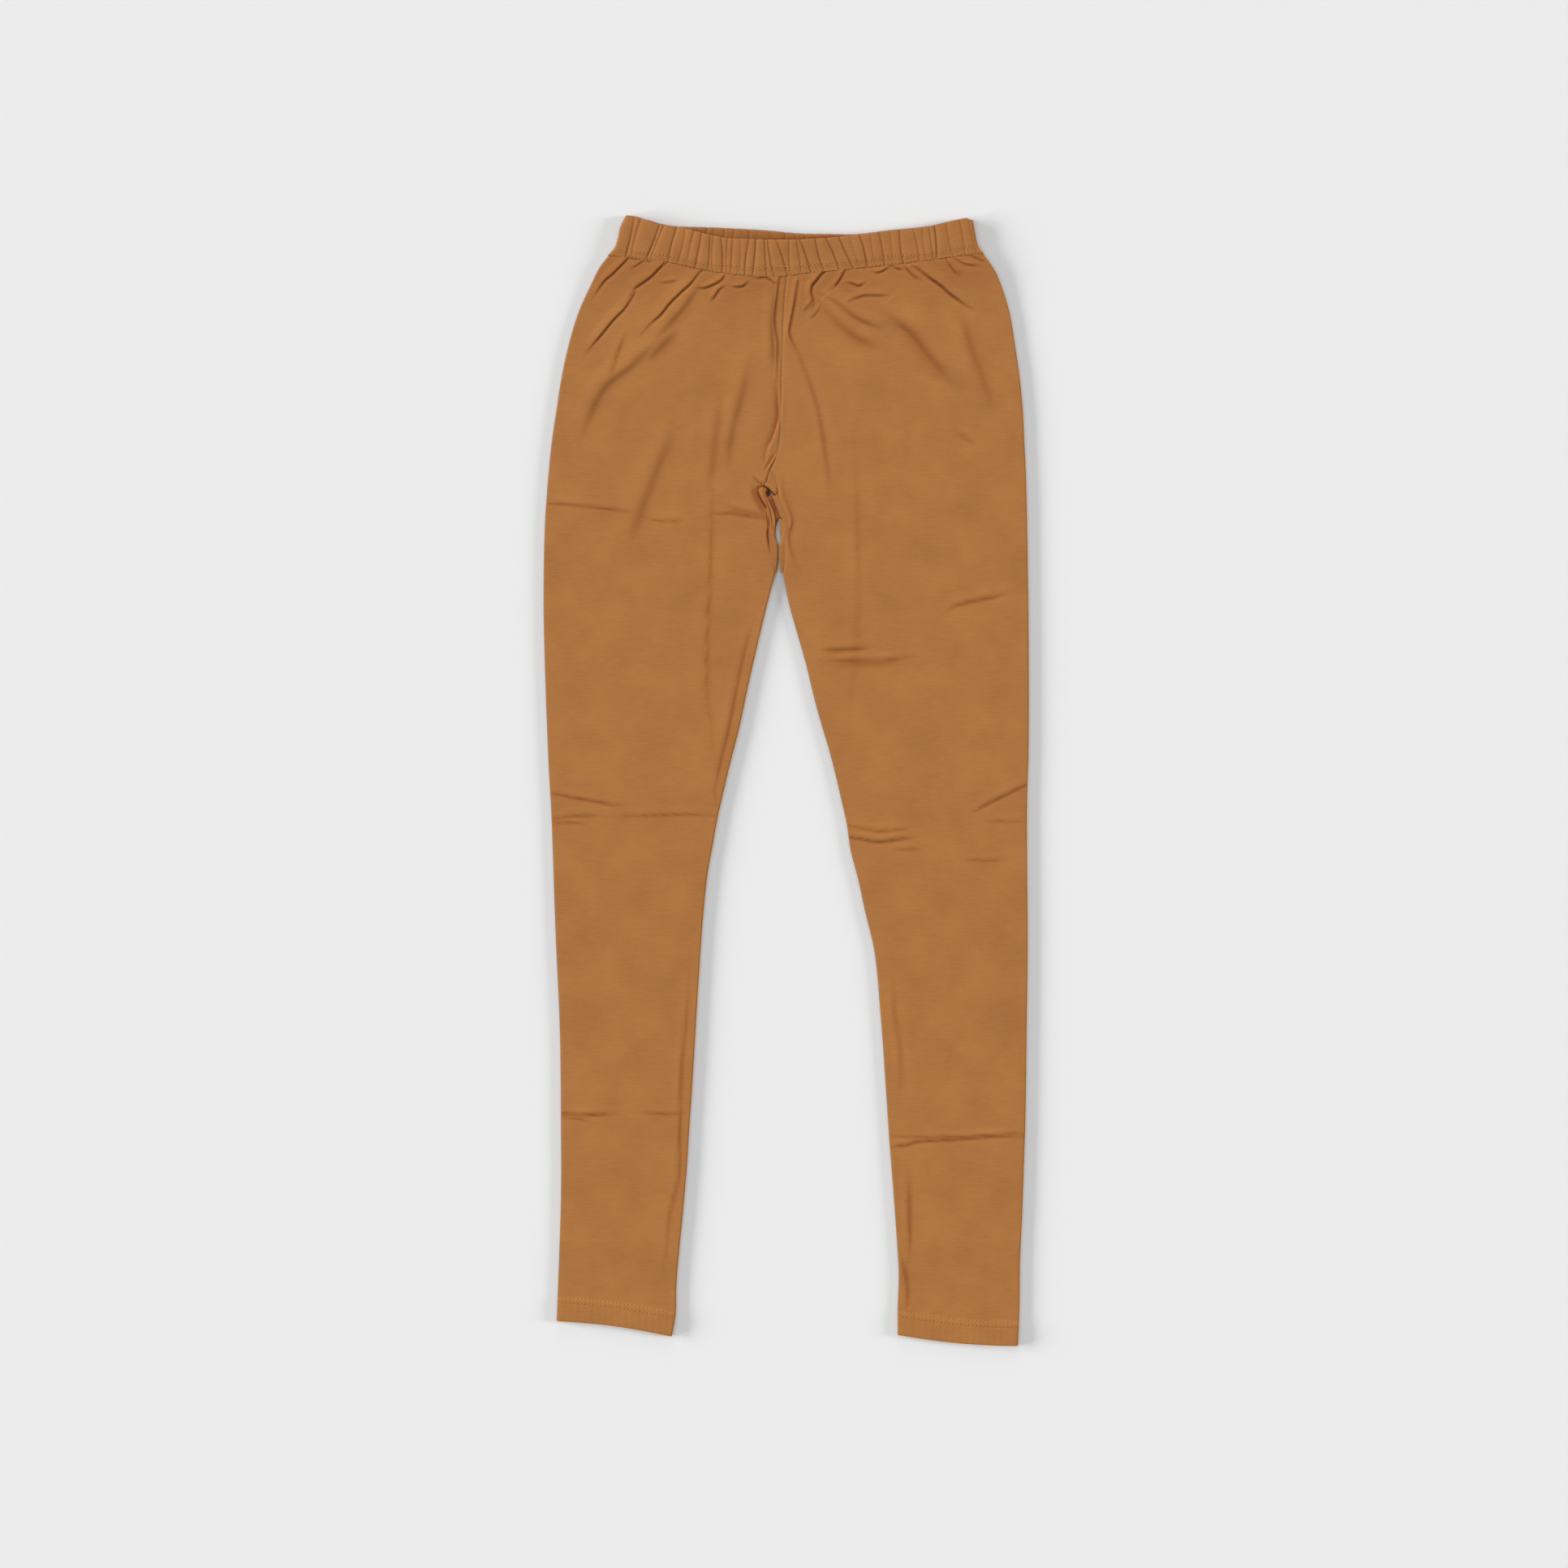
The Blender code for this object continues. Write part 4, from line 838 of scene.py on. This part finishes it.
def make_gusset():
    """The folded diamond: a flat grid cut at the slit, laid, and doubled under itself."""
    low = CROTCH_END
    count = int((low - GUSSET_TOP) / GUSSET_ROW)
    bm = bmesh.new()
    bmesh.ops.create_grid(bm, x_segments=2 * GUSSET_HALF_COLUMNS, y_segments=count, size=0.5)
    bm.loops.layers.uv.new("UVMap")

    def down_of(vertex):
        return GUSSET_TOP + (0.5 - vertex.co.y) * (low - GUSSET_TOP)

    middle = [edge for edge in bm.edges if all(
        abs(vertex.co.x) < 0.001 and down_of(vertex) > SLIT_TOP - ROUNDING for vertex in edge.verts)]
    bmesh.ops.split_edges(bm, edges=middle)
    sides = np.array([
        sum(face.calc_center_median().x for face in vertex.link_faces) for vertex in bm.verts])
    sides = np.round(sides, 6)
    share = np.array([2.0 * vertex.co.x for vertex in bm.verts])
    down = np.array([down_of(vertex) for vertex in bm.verts])
    on_right = np.where(np.abs(share) < 0.001, sides < 0.0, share < 0.0)
    seam_right = read(GUSSET_SEAMS, down, 1) + SEAM_GAP
    seam_left = read(GUSSET_SEAMS, down, 2) - SEAM_GAP
    seam = np.where(on_right, seam_right, seam_left)
    slit = np.where(on_right, read(GUSSET_SLIT, down, 1), read(GUSSET_SLIT, down, 2))
    halfway = 0.5 * (seam_right + seam_left)
    swing = ease((down - SLIT_TOP + GUSSET_FOLD_TURN) / GUSSET_FOLD_TURN)
    fold_line = halfway + swing * (GUSSET_SLIT[0][1] - halfway)
    slit = np.where(down < SLIT_TOP + ROUNDING, fold_line, slit)
    across = slit + np.abs(share) * (seam - slit)
    from_seam = np.abs(across - seam)
    slit_roll = np.exp(-((across - slit) / SLIT_ROLL) ** 2) * (down > SLIT_TOP - ROUNDING)

    folded, crease = folds_lift(GUSSET_FOLDS, across, down)
    pit_across, pit_down, pit_half, pit_depth = GUSSET_PIT
    pit = np.hypot(across - pit_across, (down - pit_down) * GUSSET_PIT_NARROW) / pit_half
    upper = GUSSET_HEIGHT + folded - pit_depth * np.exp(-pit ** 2)
    upper -= np.interp(down, *np.array(SEAM_DIPS).T) * np.exp(-(from_seam / GUSSET_SEAM_ROLL) ** 2)
    tails_start, tails_length, tails_drop = GUSSET_TAILS
    upper -= tails_drop * ease((down - tails_start) / tails_length)
    upper = np.maximum(upper, GUSSET_LOWEST)
    back_rise, back_width = GUSSET_BACK_ROLL
    lower = GUSSET_BACK_RISE + back_rise * np.exp(-(from_seam / back_width) ** 2)
    edge_height = 0.5 * LEG_HEIGHT * slit_roll
    upper = upper * (1.0 - slit_roll) + edge_height
    lower = lower * (1.0 - slit_roll) + edge_height
    # Painted shade: near black in the hole under the arch, and dark in the creases
    painted_shade = np.maximum(HOLE_DARK * np.exp(-pit ** 4), GUSSET_CREASE_DARK * crease)

    lay_cloth(bm, across, down, lower, (across, down), np.zeros(len(down)))
    copied = bmesh.ops.duplicate(bm, geom=bm.verts[:] + bm.edges[:] + bm.faces[:])
    shade = bm.verts.layers.float["painted_shade"]
    for vertex in bm.verts[:len(down)]:
        vertex.co.z = upper[vertex.index] * MM
        vertex[shade] = painted_shade[vertex.index]
    under = [item for item in copied["geom"] if isinstance(item, bmesh.types.BMFace)]
    bmesh.ops.reverse_faces(bm, faces=under)
    bmesh.ops.remove_doubles(bm, verts=[vertex for vertex in bm.verts if vertex.is_boundary], dist=WELD)
    bm.normal_update()
    face_out(bm)
    item = finish_piece(bm, "crotch_gusset_cloth", gusset_cloth, CLOTH)
    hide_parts("crotch_gusset")
    return item


make_gusset()


# The waistband
# A strip of the same jersey folded over a 25 mm elastic that gathers it, and sewn to the legs with
# two rows of stitches. The front lies on the back, whose top edge shows above it in the middle.
BAND_HEIGHT = 4.8
BAND_WALL = 2.0
BAND_ROLL = 0.5 * BAND_WALL
BAND_GAPE = 1.0             # the front's top edge stands off the back by this much more in the middle
BACK_RISE = 1.5             # the back's top edge stands off the board by this much there
# Shares of the way down over which each settles, and how far apart both edges are where it is full
BAND_GAPE_REACH = 0.7
BACK_RISE_REACH = 0.32
BAND_OPEN = 4.0
BAND_TOP_FRONT = (
    (-148.5, 0.0), (-139.0, 1.5), (-123.5, 7.5), (-102.5, 10.5), (-76.0, 17.0), (-56.5, 21.0),
    (-35.5, 22.0), (6.5, 22.5), (43.0, 20.5), (68.0, 18.0), (99.5, 13.5), (130.0, 10.5),
    (155.5, 5.0), (169.0, 2.5), (172.5, 4.0),
)
BAND_TOP_BACK = (
    (-148.5, 0.0), (-139.0, 1.5), (-109.0, 9.0), (-68.0, 11.0), (-22.0, 13.5), (12.5, 16.5),
    (43.0, 17.0), (65.5, 17.0), (99.5, 13.0), (130.0, 10.0), (155.5, 5.0), (169.0, 2.5), (172.5, 4.0),
)
# Waistband's ends: share of the way from its top edge to its seam, right end, left end
BAND_ENDS = (
    (0.0, -148.5, 172.5), (0.25, -153.0, 174.0), (0.55, -155.5, 175.5), (0.8, -158.5, 178.0),
    (1.0, -164.5, 182.5),
)
# Upper row of stitches on the front and on the back: across, down. The lower row is 6.5 mm below.
STITCH_LINE_FRONT = (
    (-158, 31), (-145, 33), (-108, 38), (-75, 45), (-57, 46), (-36, 48), (-6, 48), (24, 46), (48, 44),
    (73, 41), (96, 38), (118, 37), (143, 33), (173, 28), (178, 28),
)
STITCH_LINE_BACK = (
    (-158, 31), (-108, 33), (-50, 35), (0, 37), (60, 38), (118, 35), (178, 28),
)
STITCH_ROWS_APART = 6.5
# Creases of the front: across at the top edge and at the seam, depth at the top and at the stitches
CREASES_FRONT = (
    (-148, -163, 0.2, 0.4), (-140, -148, 0.3, 0.9), (-134, -143, 0.4, 0.3), (-117, -129, 0.5, 0.9),
    (-113, -125, 0.4, 0.3), (-101, -109, 0.6, 0.6), (-93, -100, 0.3, 0.3), (-85, -91, 0.5, 0.1),
    (-78, -84, 0.4, 0.8), (-70, -72, 0.6, 0.5), (-67, -68, 0.5, 0.3), (-60, -59, 0.6, 0.9),
    (-54, -55, 0.4, 0.4), (-49, -51, 0.4, 0.5), (-42, -44, 0.2, 0.3), (-34, -38, 0.5, 0.7),
    (-28, -31, 0.7, 0.8), (-20, -18, 0.7, 0.6), (-17, -11, 0.6, 0.7), (-9, 1, 0.7, 1.0),
    (3, 4, 0.4, 0.5), (10, 14, 0.5, 0.5), (13, 23, 0.8, 1.0), (27, 35, 0.7, 1.0), (37, 49, 0.9, 1.0),
    (49, 62, 0.9, 1.0), (59, 68, 0.2, 0.3), (68, 75, 0.9, 1.0), (78, 83, 0.2, 0.3), (86, 91, 0.5, 0.7),
    (96, 99, 0.2, 0.2), (105, 108, 0.4, 0.9), (117, 123, 0.4, 0.6), (126, 129, 0.2, 0.3),
    (132, 136, 0.3, 0.6), (137, 139, 0.8, 1.0), (148, 154, 0.3, 0.4), (160, 165, 0.4, 0.4),
    (168, 176, 0.2, 0.4),
)
# Creases of the back, in the same columns
CREASES_BACK = (
    (-141, -155, 0.7, 0.7), (-130, -142, 0.5, 0.5), (-119, -130, 0.8, 0.6), (-108, -117, 0.5, 0.8),
    (-99, -106, 0.7, 0.7), (-90, -95, 0.9, 0.6), (-82, -88, 0.5, 0.8), (-73, -79, 0.9, 0.6),
    (-67, -71, 0.5, 0.5), (-57, -61, 0.7, 0.8), (-48, -51, 0.7, 0.5), (-41, -42, 0.3, 0.5),
    (-34, -35, 0.7, 0.8), (-26, -28, 0.3, 0.5), (-15, -16, 0.4, 0.7), (-1, 0, 0.9, 0.8),
    (8, 10, 0.6, 0.6), (17, 19, 0.8, 0.8), (26, 30, 0.5, 0.5), (35, 39, 0.7, 0.7), (44, 49, 0.8, 0.8),
    (54, 60, 0.5, 0.5), (63, 69, 0.7, 0.7), (73, 80, 0.8, 0.8), (83, 90, 0.5, 0.5),
    (93, 100, 0.8, 0.8), (104, 110, 0.6, 0.6), (114, 120, 0.8, 0.8), (124, 130, 0.5, 0.5),
    (133, 139, 0.7, 0.7), (143, 150, 0.8, 0.8), (153, 161, 0.5, 0.5), (163, 172, 0.7, 0.7),
)
CREASE_HALF_WIDTH = 0.7
CREASE_BEND = 1.0           # how far a crease's middle strays from a straight line at most
CREASE_SWAY = 2.4           # that differs from crease to crease as a wave with this step, in radians
CREASE_SLOPE = 2.6          # a crease's left side is steep, and its right side this many times wider
CREASE_DARK_SHIFT = 0.3     # its painted shade is darkest this many half widths left of its middle
# The cloth bulges between two creases: by this share of their distance, at most by this much, and
# the lower the last number, the nearer to the left crease
LOBE_SHARE = 0.05
LOBE_MOST = 0.5
LOBE_LEAN = 0.8
# Both rows of stitches pull the cloth in: depth and half width of each groove
STITCH_GROOVES = ((0.12, 1.5), (0.1, 1.3))
PUCKER = 0.12               # height and length of the cloth's small waves along the stitches
PUCKER_LONG = 3.4
# Painted shade: how much richer and darker the waistband's cloth is made in a crease, along its
# top edge, where it faces inward, and right behind the front's edge, within the reach
BAND_CREASE_DARK = 0.34
BAND_EDGE_DARK = 0.25
BAND_INSIDE_DARK = 0.03
BAND_CONTACT_DARK = 0.22
BAND_CONTACT_REACH = 1.8
# The same painted shade at the seam, where it is gathered tightest: it sets in this far below the
# upper row of stitches, over the reach
BAND_SEAM_DARK = 0.04
BAND_SEAM_FROM = 5.0
BAND_SEAM_REACH = 2.0
# Off the elastic the cloth drops by this much, from here to the reach below the upper row of
# stitches, and this share of its gathers is left there
BAND_DROP = 0.4
BAND_DROP_FROM = -0.5
BAND_DROP_REACH = 5.0
BAND_GATHERS_LEFT = 0.45
# Shares of the outer face's gathers that show on the wall's inner face, at the front and the back
BAND_INNER_FRONT = 0.3
BAND_INNER_BACK = 0.35
SCALLOP = 0.5               # the top edge dips at each crease by this share of its depth
SCALLOP_REACH = 0.08
BAND_FRONT_COLUMNS = 600
BAND_BACK_COLUMNS = 320
BAND_END_COLUMNS = 10
# Rows round the waistband's wall: rows so far, share of the way down, degrees round its edges
BAND_WALL_ROWS = (
    (0, 1.0, 0.0), (36, 0.0, 0.0), (42, 0.0, 180.0), (53, 0.34, 180.0), (60, 1.0, 180.0),
    (64, 1.0, 360.0),
)

band_cloth = jersey("waistband_jersey", "B3773C", "AA6F37", "A06630")


def gathers_wave(creases, across, share):
    """The gathered cloth's height: low uneven lobes between narrow creases, and how much shade is painted
    there.
    """
    top, seam, depth_top, depth_seam = np.array(creases, float).T
    bend = CREASE_BEND * np.sin(CREASE_SWAY * np.arange(len(top)))
    wave, crease = np.zeros(len(across)), np.zeros(len(across))
    for level in np.unique(np.round(share, 4)):
        here = np.flatnonzero(np.abs(share - level) < 0.0001)
        lines = top + level * (seam - top) + bend * math.sin(math.pi * level)
        depth = depth_top + level * (depth_seam - depth_top)
        place = np.clip(np.searchsorted(lines, across[here]), 1, len(lines) - 1)
        gap = lines[place] - lines[place - 1]
        part = np.clip((across[here] - lines[place - 1]) / gap, 0.0, 1.0)
        lobe = np.minimum(LOBE_SHARE * gap, LOBE_MOST) * np.sin(math.pi * part ** LOBE_LEAN)
        away = (across[here, None] - lines[None, :]) / CREASE_HALF_WIDTH
        crease[here] = (depth[None, :] * np.exp(-(away + CREASE_DARK_SHIFT) ** 2)).max(axis=1)
        away = np.where(away > 0.0, away / CREASE_SLOPE, away)
        wave[here] = lobe - (depth[None, :] * np.exp(-away ** 2)).sum(axis=1)
    return wave, crease


def make_waistband():
    """The ring, made from one flat grid that is rolled into a wall and joined at both borders."""
    front_end = BAND_FRONT_COLUMNS
    back_start = front_end + BAND_END_COLUMNS
    back_end = back_start + BAND_BACK_COLUMNS
    columns = back_end + BAND_END_COLUMNS
    row_count = BAND_WALL_ROWS[-1][0]
    bm = bmesh.new()
    bmesh.ops.create_grid(bm, x_segments=columns, y_segments=row_count, size=0.5)
    bm.loops.layers.uv.new("UVMap")
    column, row = np.array([
        ((vertex.co.x + 0.5) * columns, (0.5 - vertex.co.y) * row_count) for vertex in bm.verts]).T
    marks = (0, front_end, back_start, back_end, columns)
    part = np.interp(column, marks, (0.0, 1.0, 1.0, 0.0, 0.0))
    turn = np.radians(np.interp(column, marks, (0.0, 0.0, 180.0, 180.0, 360.0)))
    rows_so_far, shares, degrees = np.array(BAND_WALL_ROWS, float).T
    share = np.interp(row, rows_so_far, shares)
    roll = np.radians(np.interp(row, rows_so_far, degrees))
    inset = BAND_ROLL * (1.0 - np.cos(roll))
    to_back = 0.5 - 0.5 * np.cos(turn)
    on_front = to_back < 0.5
    radius = 0.5 * BAND_HEIGHT
    top_right, top_left = BAND_ENDS[0][1:]
    seam_right, seam_left = BAND_ENDS[-1][1:]
    at_top = top_right + part * (top_left - top_right)
    at_seam = seam_right + radius + part * (seam_left - seam_right - 2.0 * radius)
    front_top, back_top = read(BAND_TOP_FRONT, at_top), read(BAND_TOP_BACK, at_top)
    top = front_top * (1.0 - to_back) + back_top * to_back
    seam = read(WAIST_SEAM_FRONT, at_seam) * (1.0 - to_back) + read(WAIST_SEAM_BACK, at_seam) * to_back
    right_end, left_end = read(BAND_ENDS, share, 1), read(BAND_ENDS, share, 2)
    flat_across = right_end + radius + part * (left_end - right_end - 2.0 * radius)
    across = flat_across + (radius - inset) * np.sin(turn)
    down = top + BAND_ROLL + share * (seam - top - 2.0 * BAND_ROLL) - BAND_ROLL * np.sin(roll)

    wave, crease = np.where(on_front, gathers_wave(CREASES_FRONT, flat_across, share),
                            gathers_wave(CREASES_BACK, flat_across, share)) * np.abs(np.cos(turn))
    stitch_line = np.where(on_front, read(STITCH_LINE_FRONT, across), read(STITCH_LINE_BACK, across))
    from_stitches = down - stitch_line
    below = ease((from_stitches - BAND_DROP_FROM) / BAND_DROP_REACH)
    wave = wave * (1.0 - (1.0 - BAND_GATHERS_LEFT) * below) - BAND_DROP * below
    pulled = np.zeros(len(down))
    for (groove_depth, half), apart in zip(STITCH_GROOVES, (0.0, STITCH_ROWS_APART)):
        groove = 1.0 - ease(np.abs(from_stitches - apart) / half)
        wave -= groove_depth * groove
        pulled = np.maximum(pulled, groove)
    wave += PUCKER * np.sin(flat_across * 2.0 * math.pi / PUCKER_LONG) * pulled
    outside = 0.5 + 0.5 * np.cos(roll)
    front_wave = wave * (outside + BAND_INNER_FRONT * (1.0 - outside))
    back_wave = np.where(outside > 0.5, np.maximum(0.0, -wave), BAND_INNER_BACK * wave)
    opened = ease((front_top - back_top) / BAND_OPEN)
    gape = opened * np.where(on_front, BAND_GAPE * (1.0 - ease(share / BAND_GAPE_REACH)),
                             BACK_RISE * (1.0 - ease(share / BACK_RISE_REACH)))
    down += SCALLOP * np.maximum(0.0, -wave) * (1.0 - ease(share / SCALLOP_REACH))
    upright = radius + (radius - inset) * np.cos(turn)
    upright += np.where(on_front, front_wave, back_wave) * np.abs(np.cos(turn)) + gape

    # Painted shade in the creases, at the seam, along the top edge, and on the back's inner face behind
    # the front's edge
    near_seam = ease((from_stitches - BAND_SEAM_FROM) / BAND_SEAM_REACH) * (roll < 0.1)
    contact = np.exp(-(np.maximum(0.0, front_top - down) / BAND_CONTACT_REACH) ** 2)
    behind_front = opened * (to_back > 0.5) * (roll > 0.5 * math.pi)
    painted_shade = np.max([
        BAND_CREASE_DARK * crease,
        BAND_SEAM_DARK * near_seam,
        BAND_EDGE_DARK * np.sin(roll) * (share < 0.5),
        (BAND_INSIDE_DARK + BAND_CONTACT_DARK * contact) * behind_front,
    ], axis=0)

    girth = flat_across * np.where(on_front, 1.0, -1.0) + radius * turn
    drop = share * (seam - top) * np.where(np.cos(roll) > 0.0, 1.0, -1.0)
    lay_cloth(bm, across, down, upright, (girth, drop), painted_shade)
    bmesh.ops.remove_doubles(bm, verts=[vertex for vertex in bm.verts if vertex.is_boundary], dist=WELD)
    bmesh.ops.recalc_face_normals(bm, faces=bm.faces)
    item = finish_piece(bm, "waistband_cloth", band_cloth)
    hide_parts("waistband")
    return item


waistband = make_waistband()

# The stitches
# Lockstitches in polyester thread dyed to the cloth: two rows hold the elastic in the waistband,
# and two rows hold each turned-up hem. They show on the front and on the back. They are 2 to 3 mm
# long on the real one and 3.6 mm here, so that they show as dots.
STITCH_PITCH = 3.6
STITCH_LENGTH = 2.5
STITCH_WIDTH = 0.7
STITCH_SINK = 0.02
NEEDLE_HOLE = 1.1           # across the dimple that the needle leaves between two stitches
NEEDLE_HOLE_TALL = 0.12
END_ROOM = 2.5              # rows stop this far short of a folded edge
LINE_STEP = 3.0             # the waistband's rows are drawn through points this far apart
HEM_POINTS = 40             # and each of the hems' through so many points
FAR_OFF = 50.0              # the cloth under a stitch is looked for from this far off


def sewing_lines():
    """Each row of stitches: which side it is on, and its line as across, down."""
    lines = []
    for offset in (0.0, STITCH_ROWS_APART):
        for side, table in ((1.0, STITCH_LINE_FRONT), (-1.0, STITCH_LINE_BACK)):
            right_end, left_end = table[0][0], table[-1][0]
            across = np.arange(right_end + END_ROOM, left_end - END_ROOM, LINE_STEP)
            lines.append((side, np.column_stack((across, read(table, across) + offset))))
    for name in LEGS:
        leg = LEGS[name]
        side_edge = float(read(leg["side"], leg["hem_side"]))
        inner_at_hem = float(read(leg["inseam"], leg["hem_inseam"]))
        share = np.linspace(0.0, 1.0, HEM_POINTS)
        for above in HEM_STITCHES:
            across = side_edge + share * (inner_at_hem - side_edge)
            across += np.sign(inner_at_hem - side_edge) * END_ROOM * (1.0 - 2.0 * share)
            down = leg["hem_side"] + share * (leg["hem_inseam"] - leg["hem_side"]) - above
            down += leg["hem_sag"] * np.sin(math.pi * share)
            for side in (1.0, -1.0):
                lines.append((side, np.column_stack((across, down))))
    return lines


def make_stitches(name, material, offset, size):
    """One joined piece of small flattened beads, laid on the cloth that they meet, one each pitch."""
    scene_state = bpy.context.evaluated_depsgraph_get()
    cloths = [BVHTree.FromObject(item, scene_state) for item in (leg_right, leg_left, waistband)]

    def on_cloth(across, down, side):
        start = Vector((across, 0.5 * LENGTH - down, FAR_OFF * side)) * MM
        hits = [cloth.ray_cast(start, Vector((0.0, 0.0, -side)))[0] for cloth in cloths]
        hits = [hit for hit in hits if hit is not None]
        return max(hits, key=lambda hit: hit.z * side) if hits else None

    sewn = bpy.data.meshes.new("sewn")
    for side, line in sewing_lines():
        bm = bmesh.new()
        reach = np.concatenate(([0.0], np.cumsum(np.hypot(*np.diff(line, axis=0).T))))
        length, width, thickness = size
        for start in np.arange(offset, reach[-1] - length, STITCH_PITCH):
            ends = [
                on_cloth(np.interp(place, reach, line[:, 0]), np.interp(place, reach, line[:, 1]), side)
                for place in (start, start + length)]
            if None in ends:
                continue
            middle = 0.5 * (ends[0] + ends[1]) - Vector((0.0, 0.0, side * STITCH_SINK * MM))
            run = ends[1] - ends[0]
            half = Vector((0.5 * run.length, 0.5 * width * MM, 0.5 * thickness * MM))
            bmesh.ops.create_uvsphere(
                bm, u_segments=6, v_segments=4, radius=1.0,
                matrix=Matrix.Translation(middle) @ run.to_track_quat("X", "Z").to_matrix().to_4x4()
                @ Matrix.Diagonal((*half, 1.0)))
        bm.from_mesh(sewn)
        bm.to_mesh(sewn)
        bm.free()
    bm = bmesh.new()
    bm.from_mesh(sewn)
    bpy.data.meshes.remove(sewn)
    return finish_piece(bm, name, material)


# Spun polyester thread, a touch lighter than the cloth because it has no nap.
thread = even_material("polyester_thread", "BE894E", 0.7, 0.3)
make_stitches("stitches", thread, 0.0, (STITCH_LENGTH, STITCH_WIDTH, STITCH_WIDTH))

# The needle pierces the cloth between two stitches and leaves a dimple, whose shade is painted as
# a small dark brown disc.
needle_hole_shade = even_material("needle_dimple_shade", "71421A", 0.95, 0.1)
first_hole = STITCH_LENGTH + 0.5 * (STITCH_PITCH - STITCH_LENGTH) - 0.5 * NEEDLE_HOLE
make_stitches("needle_hole_shade_discs", needle_hole_shade, first_hole, (NEEDLE_HOLE, NEEDLE_HOLE, NEEDLE_HOLE_TALL))
